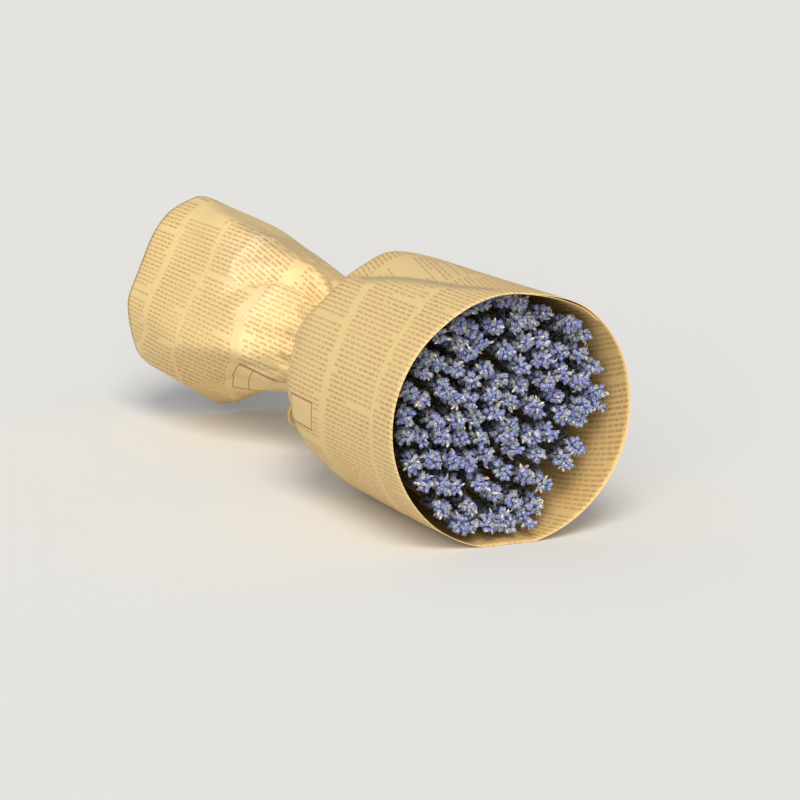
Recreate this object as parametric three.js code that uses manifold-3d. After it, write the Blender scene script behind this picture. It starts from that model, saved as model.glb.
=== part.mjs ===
// A dried lavender bunch in a sheet of printed kraft paper, lying on its side.
// Millimetres, +Z up. +X runs along the stems towards the flower heads, and the origin is on the
// surface the bunch lies on, under the middle of its box. An angle is measured in a cross-section
// from +Y towards +Z, so 90 degrees is the top and 180 degrees the side that faces -Y.
import * as THREE from 'three';
import { mergeVertices } from 'three/addons/utils/BufferGeometryUtils.js';
import Module from 'manifold-3d';

const wasm = await Module();
wasm.setup();

// Driving dimensions
const SEED = 20261;
const AXIS_Z = 73;            // height of the bunch's axis, 2 mm less than the sleeve's radius
const WALL = 0.9;             // thickness of the paper
const LAP = 1.3;              // how far the outer edge of the sheet stands off the layer under it
const LAP_ANGLE = 52;         // degrees of the sheet that lie two layers deep
const PLEATS = 12;            // gathers round the waist
const STEPS_PER_PLEAT = 4;
const WAIST_X = -20;          // where the tie goes round
const WAIST_R = 19;           // mean radius of the gathered paper there
const WAIST_PLEAT = 4.5;      // depth of a gather to each side of the mean
const TIED_L = 8;             // the paper is held tight this far to each side of the tie
const LOOSE_L = 34;           // and lies loose from here on
const MOUTH_X = 211;
const MOUTH_LEAN = 5.5;       // the mouth's top edge reaches this much further than its middle
const MOUTH_LEAN_FROM = 70;
const HEM_X = -209.6;         // the hem at the other end, cut askew
const HEM_LEAN = 5.5;
const HEM_LEAN_ANGLE = 330;
const HEM_WAVE = 2;
const HEM_FROM = -110;
const GAP = 0.3;              // clearance between pieces that touch

const SPIKES = 92;            // flower heads, one on each stem
const SPIKE_R = 6.7;          // radius of a flower head
const SPIKE_L = 50;           // length of a flower head
const LENGTH_SPREAD = 10;
const FIELD_R = 67.0;         // the heads' axes stay within this radius at the mouth
const FIELD_GAP = 15;         // and leave this much free low on the far side
const FIELD_GAP_ANGLE = 318;
const FIELD_GAP_REACH = 0.72; // cosine of the gap's half width
const PAIR_STEP = 11.6;       // distance between two heads that have grown into each other
const APART = 14.2;           // distance between other neighbours
const PAIR_REACH = 19.2;      // a head finds its partner within this distance
const FIRST_TIP_X = 189.4;    // the heads' tips lie between these two
const LAST_TIP_X = 200.4;
const WHORLS = 5;
const FLORETS = 5;
const FLORET_TURN = 360 / FLORETS;
const NOTCH = 0.6;            // radius between two florets, as a share of the head's
const FLORET_LEAN = 0.055;    // florets' tips lean forward by this share of the head's length
const NOTCH_LEAN = -0.035;

const STEM_R = 1.0;
const WAIST_STEM_R = 0.75;    // the stems are pressed together at the waist
const CORE_L = 13;            // length of the pressed core
const KNEE_X = 82;            // where the spreading stems turn straight again
const STEM_END_X = -178;      // cut ends of the stems, inside the paper's skirt
const STEM_END_SPREAD = 12;
const STEM_SINK = 1;          // how far a stem runs into the core

const TWINE_R = 1.2;
const TWINE_SIDES = 5;
const TWINE_TURNS = 3;
const TWINE_SPACE = 0.25;     // between two turns
const TWINE_LAY_R = WAIST_R + WAIST_PLEAT + GAP + TWINE_R; // radius of the twine's middle line
const KNOT_ANGLE = 216;
const KNOT_LIFT = 2.6;        // the knot's middle lies this far outside the turns
const KNOT_SIZE = { x: 5.4, y: 3.4, z: 4.0 };

// The sheet's mean radius and the depth of its gathers, from the mouth to the skirt's hem
const SHEET = [
  { x: MOUTH_X, r: 75.0, pleat: 0.0 },
  { x: 160, r: 75.0, pleat: 0.0 },
  { x: 110, r: 75.0, pleat: 0.2 },
  { x: 68, r: 74.6, pleat: 0.6 },
  { x: 54, r: 73.0, pleat: 1.2 },
  { x: 44, r: 66.0, pleat: 2.2 },
  { x: 20, r: 44.0, pleat: 4.0 },
  { x: -2, r: 26.0, pleat: 4.6 },
  { x: WAIST_X + 8, r: WAIST_R, pleat: WAIST_PLEAT },
  { x: WAIST_X - 8, r: WAIST_R, pleat: WAIST_PLEAT },
  { x: -40, r: 30.0, pleat: 5.0 },
  { x: -56, r: 45.0, pleat: 4.6 },
  { x: -78, r: 57.0, pleat: 3.2 },
  { x: -120, r: 68.0, pleat: 1.4 },
  { x: -165, r: 74.0, pleat: 0.5 },
  { x: HEM_X, r: 75.3, pleat: 0.0 },
];

// Flat sides that creases give the sheet: the direction each one faces, and its distance from the
// axis at two places along the bunch
const FLATS = [
  { at: 62, from: { x: 200, out: 80 }, to: { x: 110, out: 72.5 } },
  { at: 76, from: { x: 60, out: 73.4 }, to: { x: 211, out: 74.8 } },
  { at: 126, from: { x: 30, out: 53 }, to: { x: 70, out: 78 } },
  { at: 222, from: { x: 170, out: 80 }, to: { x: 60, out: 73.5 } },
  { at: 40, from: { x: -60, out: 49 }, to: { x: -205, out: 58.5 } },
  { at: 65, from: { x: -60, out: 36 }, to: { x: -205, out: 57 } },
  { at: 124, from: { x: -30, out: 30 }, to: { x: -150, out: 77 } },
  { at: 150, from: { x: -60, out: 52 }, to: { x: -205, out: 71.5 } },
  { at: 158, from: { x: -38, out: 26 }, to: { x: -104, out: 75.5 } },
  { at: 190, from: { x: -38, out: 26.5 }, to: { x: -104, out: 76 } },
  { at: 238, from: { x: -60, out: 32 }, to: { x: -200, out: 64.5 } },
  { at: 280, from: { x: -60, out: 31 }, to: { x: -195, out: 73 } },
  { at: 286, from: { x: -118, out: 36.5 }, to: { x: -207, out: 62 } },
  { at: 302, from: { x: -60, out: 40 }, to: { x: -205, out: 57 } },
  { at: 335, from: { x: -60, out: 44 }, to: { x: -205, out: 67 } },
  { at: 18, from: { x: -60, out: 44 }, to: { x: -205, out: 67 } },
];
const CREASE_ROUND = 6;       // how softly two flats run into each other
const FLAT_REACH = 0.3;       // cosine of a flat's half width, seen from the axis
const FLARE = 3.5;            // how far one corner of the skirt's hem stands out
const FLARE_ANGLE = 128;
const FLARE_HALF = 36;        // degrees from its middle to each side
const FLARE_FROM = -160;

// Angle of the sheet's outer free edge, which runs askew over the top of the sleeve
const LAP_EDGE = { from: { x: 20, angle: 126 }, to: { x: 215, angle: 88 } };
const LAP_RAMP = 50;          // degrees over which the outer layer climbs onto the inner edge
const LAP_LEVEL = 4;
const EDGE_STEP = 0.5;        // half the angle between the two columns at a free edge

const rad = THREE.MathUtils.degToRad;
const mix = THREE.MathUtils.lerp;
const smooth = THREE.MathUtils.smoothstep;

function randomSource(seed) {
  let state = seed;
  return () => {
    state = (state + 0x6d2b79f5) | 0;
    let t = Math.imul(state ^ (state >>> 15), 1 | state);
    t = (t + Math.imul(t ^ (t >>> 7), 61 | t)) ^ t;
    return ((t ^ (t >>> 14)) >>> 0) / 4294967296;
  };
}

function material(color, roughness) {
  return new THREE.MeshStandardMaterial({ color, roughness, metalness: 0 });
}

// Solids as closed triangle meshes

function geometryOf(points, triangles) {
  const geometry = new THREE.BufferGeometry();
  const numbers = points.flatMap((p) => [p.x, p.y, p.z]);
  geometry.setAttribute('position', new THREE.Float32BufferAttribute(numbers, 3));
  geometry.setIndex(triangles.flat());
  return geometry;
}

// Rings of points joined in order, with a flat cap on the first and the last ring
function loft(rings) {
  const n = rings[0].length;
  const last = rings.length - 1;
  const at = (ring, k) => ring * n + (k % n);
  const triangles = [];
  for (let k = 0; k < n; k += 1) {
    for (let ring = 0; ring < last; ring += 1) {
      triangles.push([at(ring, k), at(ring, k + 1), at(ring + 1, k + 1)]);
      triangles.push([at(ring, k), at(ring + 1, k + 1), at(ring + 1, k)]);
    }
  }
  for (let k = 1; k + 1 < n; k += 1) {
    triangles.push([at(0, 0), at(0, k + 1), at(0, k)]);
    triangles.push([at(last, 0), at(last, k), at(last, k + 1)]);
  }
  return geometryOf(rings.flat(), triangles);
}

// A loft that is closed by a point at each end
function pointedLoft(rings, first, last) {
  const n = rings[0].length;
  const points = [...rings.flat(), first, last];
  const at = (ring, k) => ring * n + (k % n);
  const triangles = [];
  for (let k = 0; k < n; k += 1) {
    triangles.push([points.length - 2, at(0, k + 1), at(0, k)]);
    triangles.push([points.length - 1, at(rings.length - 1, k), at(rings.length - 1, k + 1)]);
    for (let ring = 0; ring + 1 < rings.length; ring += 1) {
      triangles.push([at(ring, k), at(ring, k + 1), at(ring + 1, k + 1)]);
      triangles.push([at(ring, k), at(ring + 1, k + 1), at(ring + 1, k)]);
    }
  }
  return geometryOf(points, triangles);
}

function solidOf(geometry) {
  const bare = geometry.clone();
  bare.deleteAttribute('normal');
  bare.deleteAttribute('uv');
  const merged = mergeVertices(bare, 1e-4);
  const mesh = new wasm.Mesh({
    numProp: 3,
    vertProperties: new Float32Array(merged.attributes.position.array),
    triVerts: new Uint32Array(merged.index.array),
  });
  return new wasm.Manifold(mesh);
}

function geometryOfSolid(solid) {
  const mesh = solid.getMesh();
  const geometry = new THREE.BufferGeometry();
  geometry.setAttribute('position', new THREE.BufferAttribute(mesh.vertProperties, 3));
  geometry.setIndex(new THREE.BufferAttribute(mesh.triVerts, 1));
  return geometry;
}

function join(geometries) {
  let whole = solidOf(geometries[0]);
  for (const geometry of geometries.slice(1)) whole = whole.add(solidOf(geometry));
  return geometryOfSolid(whole);
}

// The paper sheet

function lapEdge(x) {
  const { from, to } = LAP_EDGE;
  return mix(from.angle, to.angle, smooth(x, from.x, to.x));
}

function softMinimum(a, b) {
  const near = Math.max(CREASE_ROUND - Math.abs(a - b), 0) / CREASE_ROUND;
  return Math.min(a, b) - (near * near * CREASE_ROUND) / 4;
}

// The sheet's radius at x, cut in by the flats on that side of the waist
function creasedRadius(x, angle, round) {
  let r = round;
  for (const flat of FLATS) {
    const facing = Math.cos(rad(angle - flat.at));
    const sameSide = (x - WAIST_X) * (flat.to.x - WAIST_X) > 0;
    if (!sameSide || facing < FLAT_REACH) continue;
    const share = THREE.MathUtils.clamp((x - flat.from.x) / (flat.to.x - flat.from.x), 0, 1);
    r = softMinimum(r, mix(flat.from.out, flat.to.out, share) / facing);
  }
  return r;
}

// Column angles counted from the sheet's outer edge, with a close pair at each free edge
function sheetColumns() {
  const count = PLEATS * STEPS_PER_PLEAT;
  const columns = [];
  for (let k = 0; k < count; k += 1) {
    columns.push({ turn: (360 * k) / count, wave: Math.cos((2 * Math.PI * k) / STEPS_PER_PLEAT) });
  }
  columns[0].turn = EDGE_STEP;
  columns.push({ turn: 360 - EDGE_STEP, wave: 1 });
  const under = columns.findIndex((c) => c.turn >= 360 - LAP_ANGLE);
  const inner = columns[under];
  columns.splice(under, 0, { turn: inner.turn - EDGE_STEP, wave: inner.wave });
  inner.turn += EDGE_STEP;
  return { columns, innerEdge: inner.turn - EDGE_STEP };
}

const { columns, innerEdge } = sheetColumns();

// One point on the sheet: depth 0 is its outer face and depth 1 its inner face
function sheetPoint(station, column, depth) {
  const angle = lapEdge(station.x) + column.turn;
  const sine = Math.sin(rad(angle));
  const cosine = Math.cos(rad(angle));
  const flareTurn = THREE.MathUtils.euclideanModulo(angle - FLARE_ANGLE + 180, 360) - 180;
  const flare = Math.abs(flareTurn) < FLARE_HALF ? Math.cos(rad((90 * flareTurn) / FLARE_HALF)) : 0;
  let r = creasedRadius(station.x, angle, station.r) + station.pleat * column.wave;
  r += FLARE * flare * flare * smooth(-station.x, -FLARE_FROM, -HEM_X);
  const doubled = column.turn > innerEdge;
  const loose = smooth(Math.abs(station.x - WAIST_X), TIED_L, LOOSE_L);
  const climb = smooth(column.turn, innerEdge - LAP_RAMP, innerEdge - LAP_LEVEL);
  r += depth === 1 && doubled ? 0 : LAP * loose * climb;
  r -= depth * WALL;
  const lean = MOUTH_LEAN * sine * smooth(station.x, MOUTH_LEAN_FROM, MOUTH_X);
  const wave = HEM_WAVE * Math.cos(rad(3 * angle));
  const askew = HEM_LEAN * Math.cos(rad(angle - HEM_LEAN_ANGLE)) + wave;
  const hem = askew * smooth(-station.x, -HEM_FROM, -HEM_X);
  const height = Math.max(AXIS_Z + r * sine, depth * WALL);
  return new THREE.Vector3(station.x + lean + hem, r * cosine, height);
}

function paperSheet() {
  const n = columns.length;
  const points = [];
  for (const depth of [0, 1]) {
    for (const station of SHEET) {
      for (const column of columns) points.push(sheetPoint(station, column, depth));
    }
  }
  const at = (depth, ring, k) => (depth * SHEET.length + ring) * n + (k % n);
  const triangles = [];
  const quad = (a, b, c, d) => triangles.push([a, b, c], [a, c, d]);
  const last = SHEET.length - 1;
  for (let k = 0; k < n; k += 1) {
    for (let ring = 0; ring < last; ring += 1) {
      const [a, b, c, d] = [[ring, k], [ring, k + 1], [ring + 1, k + 1], [ring + 1, k]];
      quad(at(0, ...a), at(0, ...d), at(0, ...c), at(0, ...b));
      triangles.push([at(1, ...a), at(1, ...b), at(1, ...c)], [at(1, ...a), at(1, ...c), at(1, ...d)]);
    }
    quad(at(0, 0, k), at(0, 0, k + 1), at(1, 0, k + 1), at(1, 0, k));
    quad(at(0, last, k), at(1, last, k), at(1, last, k + 1), at(0, last, k + 1));
  }
  return geometryOf(points, triangles);
}

// The flower heads' places across the mouth

const random = randomSource(SEED);

// The heads leave a gap by the wall low on the far side
function fieldRadius(angle) {
  const facing = Math.cos(rad(angle - FIELD_GAP_ANGLE));
  return FIELD_R - FIELD_GAP * smooth(facing, FIELD_GAP_REACH, 1);
}

function keepInside(p) {
  const angle = THREE.MathUtils.radToDeg(Math.atan2(p.z, p.y));
  const limit = fieldRadius(angle);
  const r = Math.hypot(p.y, p.z);
  if (r > limit) {
    p.y *= limit / r;
    p.z *= limit / r;
  }
}

// Neighbours are pushed apart, and partners pulled together, until every head has its room
function settle(heads, rounds) {
  for (let round = 0; round < rounds; round += 1) {
    for (let i = 0; i < heads.length; i += 1) {
      for (let j = i + 1; j < heads.length; j += 1) {
        const [a, b] = [heads[i], heads[j]];
        const dy = b.y - a.y;
        const dz = b.z - a.z;
        const far = Math.hypot(dy, dz) + 1e-6;
        const paired = a.partner === b;
        const wanted = paired ? PAIR_STEP : APART;
        if (far > wanted && !paired) continue;
        const push = (0.5 * (wanted - far)) / far;
        a.y -= push * dy;
        a.z -= push * dz;
        b.y += push * dy;
        b.z += push * dz;
      }
    }
    heads.forEach(keepInside);
  }
}

const distance = (a, b) => Math.hypot(a.y - b.y, a.z - b.z);

// Each head pairs with its nearest free neighbour, those with the fewest to choose from first
function pairUp(heads) {
  const free = () => heads.filter((h) => !h.partner && !h.alone);
  const near = (h) => free().filter((o) => o !== h && distance(o, h) < PAIR_REACH);
  while (free().length) {
    const head = free().sort((a, b) => near(a).length - near(b).length)[0];
    const mates = near(head).sort((a, b) => distance(a, head) - distance(b, head));
    if (mates.length) {
      head.partner = mates[0];
      mates[0].partner = head;
    } else {
      head.alone = true;
    }
  }
}

// The heads start on a sunflower's spiral and are then settled
function placeHeads() {
  const heads = [];
  const goldenAngle = Math.PI * (3 - Math.sqrt(5));
  for (let k = 0; k < SPIKES; k += 1) {
    const r = FIELD_R * Math.sqrt((k + 0.5) / SPIKES);
    const angle = k * goldenAngle;
    heads.push({ y: r * Math.cos(angle) + random(), z: r * Math.sin(angle) + random() });
  }
  settle(heads, 300);
  pairUp(heads);
  settle(heads, 600);
  for (const head of heads) {
    const others = heads.filter((o) => o !== head && o !== head.partner);
    const room = Math.min(...others.map((o) => distance(o, head))) / 2 - GAP;
    head.radius = Math.min(SPIKE_R, room);
    head.tip = mix(FIRST_TIP_X, LAST_TIP_X, random());
    head.length = SPIKE_L + LENGTH_SPREAD * (random() - 0.5);
    head.turn = random() * FLORET_TURN;
  }
  return heads;
}

// The bunch spreads from the waist to the mouth, and a little behind the waist. Every
// cross-section of it is the same pattern of heads or stems at another scale.
const SPREAD = [
  { x: STEM_END_X, scale: 0.42 },
  { x: WAIST_X - CORE_L / 2, scale: 0.168 },
  { x: WAIST_X + CORE_L / 2, scale: 0.168 },
  { x: KNEE_X, scale: 0.8 },
  { x: 142, scale: 0.952 },
  { x: MOUTH_X, scale: 1.012 },
];

function spreadAt(x) {
  const k = Math.max(1, SPREAD.findIndex((s) => s.x >= x));
  const [a, b] = [SPREAD[k - 1], SPREAD[k]];
  return mix(a.scale, b.scale, (x - a.x) / (b.x - a.x));
}

function inBunch(x, y, z) {
  const scale = spreadAt(x);
  return new THREE.Vector3(x, y * scale, AXIS_Z + z * scale);
}

// A point at a distance along the bunch from the tie's middle, a radius and an angle
function atWaist(dx, r, angle) {
  const z = AXIS_Z + r * Math.sin(rad(angle));
  return new THREE.Vector3(WAIST_X + dx, r * Math.cos(rad(angle)), z);
}

// Flower heads: whorls of pointed florets that lean forward, each turned half a floret from the last

const WHORL_SIZE = [0.72, 0.98, 1.0, 0.97, 0.78];   // radius of each whorl, from the tip down
const WHORL_PLACE = [0.10, 0.27, 0.45, 0.64, 0.83]; // its place along the head

function spikeGeometry(head) {
  const rings = [];
  for (let w = 0; w < WHORLS; w += 1) {
    const ring = [];
    const x = head.tip - head.length * WHORL_PLACE[w];
    for (let k = 0; k < 2 * FLORETS; k += 1) {
      const outer = (k + w) % 2 === 0;
      const r = head.radius * WHORL_SIZE[w] * (outer ? 1 : NOTCH);
      const angle = rad(head.turn + (180 * k) / FLORETS);
      const forward = head.length * (outer ? FLORET_LEAN : NOTCH_LEAN);
      ring.push(inBunch(x + forward, head.y + r * Math.cos(angle), head.z + r * Math.sin(angle)));
    }
    rings.push(ring.reverse());
  }
  const base = inBunch(head.tip - head.length, head.y, head.z);
  return pointedLoft(rings, inBunch(head.tip, head.y, head.z), base);
}

// Stems: three-sided rods, pressed into one core in the waist. The bunch is as narrow as an
// hourglass there, so the stems in front of the waist's middle are one piece and those behind it
// another: each is then a plain cone, and the waist stays slim in a piece's convex outline.

function rod(route, radii) {
  const rings = route.map((p, k) => [90, 330, 210].map((angle) => {
    const y = p.y + radii[k] * Math.cos(rad(angle));
    return new THREE.Vector3(p.x, y, p.z + radii[k] * Math.sin(rad(angle)));
  }));
  return loft(rings);
}

function frontRod(head) {
  const top = head.tip - head.length - GAP;
  const inCore = WAIST_X + CORE_L / 2 - STEM_SINK;
  const route = [top, KNEE_X, inCore].map((x) => inBunch(x, head.y, head.z));
  return rod(route, [STEM_R, STEM_R, WAIST_STEM_R]);
}

function rearRod(head) {
  const inCore = WAIST_X - CORE_L / 2 + STEM_SINK;
  const cut = STEM_END_X + STEM_END_SPREAD * (head.turn / FLORET_TURN - 0.3);
  return rod([inCore, cut].map((x) => inBunch(x, head.y, head.z)), [WAIST_STEM_R, STEM_R]);
}

// The pressed core between two distances from the tie's middle, the larger one first
function stemCore(from, to) {
  const core = WAIST_R - WAIST_PLEAT - WALL - GAP;
  const rings = [from, to].map((dx) => {
    const ring = [];
    for (let k = PLEATS; k > 0; k -= 1) {
      ring.push(atWaist(dx, core, lapEdge(WAIST_X) + (360 * (k + 0.5)) / PLEATS));
    }
    return ring;
  });
  return loft(rings);
}

// The tie: turns of twine round the waist, a knot low on the near side, and a bow

// The turns of twine, from one side of the knot round to the other
class Helix extends THREE.Curve {
  getPoint(t) {
    const dx = (2 * TWINE_R + TWINE_SPACE) * TWINE_TURNS * (t - 0.5);
    return atWaist(dx, TWINE_LAY_R, KNOT_ANGLE + 360 * TWINE_TURNS * t);
  }
}

function tube(curve, steps) {
  const frames = curve.computeFrenetFrames(steps, false);
  const rings = [];
  for (let s = 0; s <= steps; s += 1) {
    const centre = curve.getPointAt(s / steps);
    const ring = [];
    for (let k = 0; k < TWINE_SIDES; k += 1) {
      const angle = (2 * Math.PI * k) / TWINE_SIDES;
      const out = frames.normals[s].clone().multiplyScalar(TWINE_R * Math.cos(angle));
      out.addScaledVector(frames.binormals[s], TWINE_R * Math.sin(angle));
      ring.push(centre.clone().add(out));
    }
    rings.push(ring);
  }
  return loft(rings);
}

function curveThrough(points) {
  return new THREE.CatmullRomCurve3(points, false, 'centripetal');
}

function twineTie() {
  const knot = new THREE.IcosahedronGeometry(1, 1);
  knot.scale(KNOT_SIZE.x, KNOT_SIZE.y, KNOT_SIZE.z);
  const seat = atWaist(0, TWINE_LAY_R + KNOT_LIFT, KNOT_ANGLE);
  knot.translate(seat.x, seat.y, seat.z);
  const nearLoop = curveThrough([
    atWaist(-1, 26, 218), atWaist(-4, 38, 218), atWaist(-5, 52, 223), atWaist(-2, 58, 229),
    atWaist(2, 53, 235), atWaist(3, 40, 230), atWaist(1, 26, 220),
  ]);
  const farLoop = curveThrough([
    atWaist(1, 26, 218), atWaist(6, 36, 236), atWaist(8, 47, 250), atWaist(5, 54, 258),
    atWaist(0, 50, 264), atWaist(-2, 37, 250), atWaist(-1, 26, 222),
  ]);
  const tails = [
    curveThrough([atWaist(-2, 26, 221), atWaist(-8, 40, 238), atWaist(-11, 55, 244)]),
    curveThrough([atWaist(2, 26, 217), atWaist(10, 42, 232), atWaist(15, 56, 247)]),
  ];
  return join([
    tube(new Helix(), TWINE_TURNS * PLEATS),
    knot,
    tube(nearLoop, 9),
    tube(farLoop, 9),
    ...tails.map((tail) => tube(tail, 3)),
  ]);
}

// The bunch

const kraft = material(0xe1c086, 0.85);
const straw = material(0xa99c63, 0.9);
const raffia = material(0xb99b5c, 0.9);
const lavender = material(0x5f62a0, 0.9);

const bunch = new THREE.Group();

function addPiece(name, geometry, finish) {
  const mesh = new THREE.Mesh(geometry, finish);
  mesh.name = name;
  bunch.add(mesh);
}

const heads = placeHeads();

addPiece('paper_wrap', paperSheet(), kraft);
addPiece('stems_front', join([stemCore(CORE_L / 2, GAP / 2), ...heads.map(frontRod)]), straw);
addPiece('stems_rear', join([stemCore(-GAP / 2, -CORE_L / 2), ...heads.map(rearRod)]), straw);
addPiece('twine_tie', twineTie(), raffia);

let group = 0;
for (const head of heads) {
  if (head.placed) continue;
  group += 1;
  const members = head.partner ? [head, head.partner] : [head];
  for (const member of members) member.placed = true;
  const name = `flower_heads_${String(group).padStart(2, '0')}`;
  addPiece(name, join(members.map(spikeGeometry)), lavender);
}

export default bunch;
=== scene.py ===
"""Looks of a dried lavender bunch in a sheet of printed kraft paper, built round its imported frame.

The bunch lies along +X, with the flower heads in the open mouth at +X. Forms are worked out in
millimetres and degrees. Cross-sections are given by angles from +Y towards +Z, so 90 degrees is the
top and 180 degrees the side that faces -Y.
"""

import math

import bpy
import numpy as np
from bpy.props import (
    FloatProperty,
    FloatVectorProperty,
    IntProperty,
    PointerProperty,
)
from mathutils import Matrix, Vector


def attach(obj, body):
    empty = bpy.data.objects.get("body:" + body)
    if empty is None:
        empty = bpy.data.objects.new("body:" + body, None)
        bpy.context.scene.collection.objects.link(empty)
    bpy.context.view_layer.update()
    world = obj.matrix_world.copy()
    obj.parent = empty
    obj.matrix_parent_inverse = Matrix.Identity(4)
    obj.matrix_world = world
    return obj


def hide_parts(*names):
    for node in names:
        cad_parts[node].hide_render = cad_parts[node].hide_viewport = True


bl_info = {
    "name": "Dried lavender bunch",
    "version": (1, 0, 0),
    "blender": (4, 5, 0),
    "location": "3D View > Sidebar > Lavender",
    "description": "Builds the paper, flower heads, stems and tie of a dried lavender bunch",
    "category": "Add Mesh",
}

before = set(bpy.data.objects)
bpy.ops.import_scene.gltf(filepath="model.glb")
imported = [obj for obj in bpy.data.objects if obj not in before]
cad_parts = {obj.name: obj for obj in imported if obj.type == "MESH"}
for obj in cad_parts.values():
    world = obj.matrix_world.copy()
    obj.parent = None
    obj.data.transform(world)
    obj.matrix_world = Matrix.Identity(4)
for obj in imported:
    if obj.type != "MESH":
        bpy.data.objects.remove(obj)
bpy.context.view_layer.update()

MM = 0.001
COLOUR = {"subtype": "COLOR", "size": 4}  # what every colour setting has in common
HEAD_NODES = sorted(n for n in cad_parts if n.startswith("flower_heads_"))

# Kinds of node that are used often
MATH, VECTOR_MATH = "ShaderNodeMath", "ShaderNodeVectorMath"
MAP_RANGE, MIX = "ShaderNodeMapRange", "ShaderNodeMix"
NOISE, ATTRIBUTE = "ShaderNodeTexNoise", "ShaderNodeAttribute"
RANDOM, SET_POSITION = "FunctionNodeRandomValue", "GeometryNodeSetPosition"

# The bunch's form, as the frame has it
AXIS_Z = 73.0
ROUND_R = 75.0  # radius at which angles become lengths round the sheet
WAIST_X = -20.0  # where the tie goes round
TIED_L, LOOSE_L = 8, 34  # the sheet is held tight this far from the waist, and lies loose from here
MOUTH_X = 211.0
HEM_X = -209.6
PLEATS = 12
LAP_RISE = 1.3  # how far the lap lifts off to pass over the layer under it
INNER_EDGE = 315.0  # turn at which the sheet's inner edge starts, counted from its outer edge
SOLE = 0.3  # height of the inner face where the sheet lies on the floor

# The sheet's outer free edge, which runs askew over the top of the sleeve: places and angles
LAP_EDGE = (20, 93, 116, 142, 171, 190, 211), (128, 118, 112, 107.5, 103, 97, 91)

# Mean radius of the sheet and depth of its gathers along the bunch: x, radius, gather
SHEET = (
    (-209.6, 75.3, 0.0),
    (-165.0, 74.0, 0.5),
    (-120.0, 68.0, 1.4),
    (-78.0, 57.0, 3.2),
    (-56.0, 45.0, 4.6),
    (-40.0, 30.0, 5.0),
    (-28.0, 19.0, 4.5),
    (-12.0, 19.0, 4.5),
    (-2.0, 26.0, 4.6),
    (20.0, 44.0, 4.0),
    (44.0, 66.0, 2.2),
    (54.0, 73.0, 1.2),
    (68.0, 74.6, 0.6),
    (110.0, 75.0, 0.2),
    (160.0, 75.0, 0.0),
    (211.0, 75.0, 0.0),
)

# Flat sides between creases: the way each faces, then x and distance from the axis at two places
FLATS = (
    (62, 200, 80.0, 110, 72.5),
    (76, 60, 73.4, 211, 74.8),
    (126, 30, 53.0, 70, 78.0),
    (222, 170, 80.0, 60, 73.5),
    (40, -60, 49.0, -205, 58.5),
    (65, -60, 36.0, -205, 57.0),
    (124, -30, 30.0, -150, 77.0),
    (150, -60, 52.0, -205, 71.5),
    (158, -38, 26.0, -104, 75.5),
    (190, -38, 26.5, -104, 76.0),
    (238, -60, 32.0, -200, 64.5),
    (280, -60, 31.0, -195, 73.0),
    (286, -118, 36.5, -207, 62.0),
    (302, -60, 40.0, -205, 57.0),
    (335, -60, 44.0, -205, 67.0),
    (18, -60, 44.0, -205, 67.0),
)
FLAT_REACH = 0.3  # a flat side ends where it faces away by more than this cosine
CREASE_ROUND = 6.0  # how far a crease between flat sides is rounded off
FLARE, FLARE_ANGLE, FLARE_WIDTH = 3.5, 128.0, 36  # the hem's upper near corner stands out

# The mouth's rim leans forward at its top. The hem leans where it faces this angle, and waves.
MOUTH_LEAN = 5.5
HEM_LEAN, HEM_LEAN_ANGLE, HEM_WAVE = 5.5, 330, 2

# Creases pressed into the sheet: points of x and angle, depth, and width to each side.
# A negative depth is a valley, a positive one a ridge.
CREASES = (
    (((-98, 146), (-88, 137), (-76, 128), (-62, 120), (-48, 113)), -5.6, 5.0),
    (((-120, 103), (-109, 119), (-109, 130), (-106, 140), (-96, 144)), 2.2, 5.0),
    (((-96, 130), (-82, 119), (-66, 110), (-52, 103)), 3.4, 9.0),
    (((-160, 113), (-146, 107), (-136, 100), (-110, 96), (-70, 92)), 1.8, 12.0),
    (((-150, 232), (-120, 222), (-92, 205), (-60, 196)), -1.8, 9.0),
    (((-176, 258), (-168, 243), (-150, 232)), 1.6, 8.0),
    (((-66, 124), (-68, 150), (-71, 175), (-70, 200), (-88, 228)), 2.6, 5.0),
    (((-46, 122), (-48, 150), (-52, 175), (-50, 200)), -3.0, 5.0),
    (((-100, 201), (-76, 208), (-48, 212)), -1.6, 6.0),
    (((-100, 250), (-48, 252)), -2.4, 6.0),
    (((-100, 292), (-48, 290)), -2.6, 7.0),
    (((-100, 335), (-48, 336)), -2.6, 6.0),
    (((-100, 15), (-48, 17)), -2.6, 7.0),
    (((-100, 55), (-48, 56)), -2.4, 6.0),
    (((-100, 90), (-48, 88)), -1.6, 6.0),
    (((18, 150), (40, 158), (62, 163)), -1.2, 8.0),
    (((14, 196), (44, 190), (70, 192)), -1.0, 8.0),
)

# Painted light on the sheet: shade, highlights and a glow
LAP_SHADE_WIDTH = 4.5  # of the strip of painted shade beside the lap's edge, on the layer under it
LAP_SHADE_OVER = 3.0  # how many times narrower it is on the lap itself
HIGHLIT_DEPTH, HIGHLIT_WIDTH = 2, 10.0  # ridges higher than this get painted highlights, this far each side
GLOW = (-66.0, 96.0, 26.0, 20.0)  # painted warm glow by the waist: x, angle, and half its size each way

# The sheet's points: rows along the bunch and columns round it
SHEET_ROWS, SHEET_COLUMNS = 172, 282

# The crumpling's noise: cells along the bunch before it repeats, and how far off its first one is
NOISE_ROWS, NOISE_START = 64, 400

# Rules of the print: x on the near side against distance along the sheet. Columns of print are
# 61 mm wide, with their gutters at whole multiples of that.
PRINT_ALONG = (
    (-250.0, -92.0),
    (-209.6, -36.0),
    (-180.0, 0.0),
    (-134.0, 61.0),
    (-74.0, 122.0),
    (-20.0, 184.0),
    (54.0, 300.0),
    (117.0, 366.0),
    (182.0, 427.0),
    (211.0, 455.0),
    (270.0, 512.0),
)
INNER_PRINT = (2.013, 0.402)  # the inner face shows the page this far on, in metres

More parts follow.
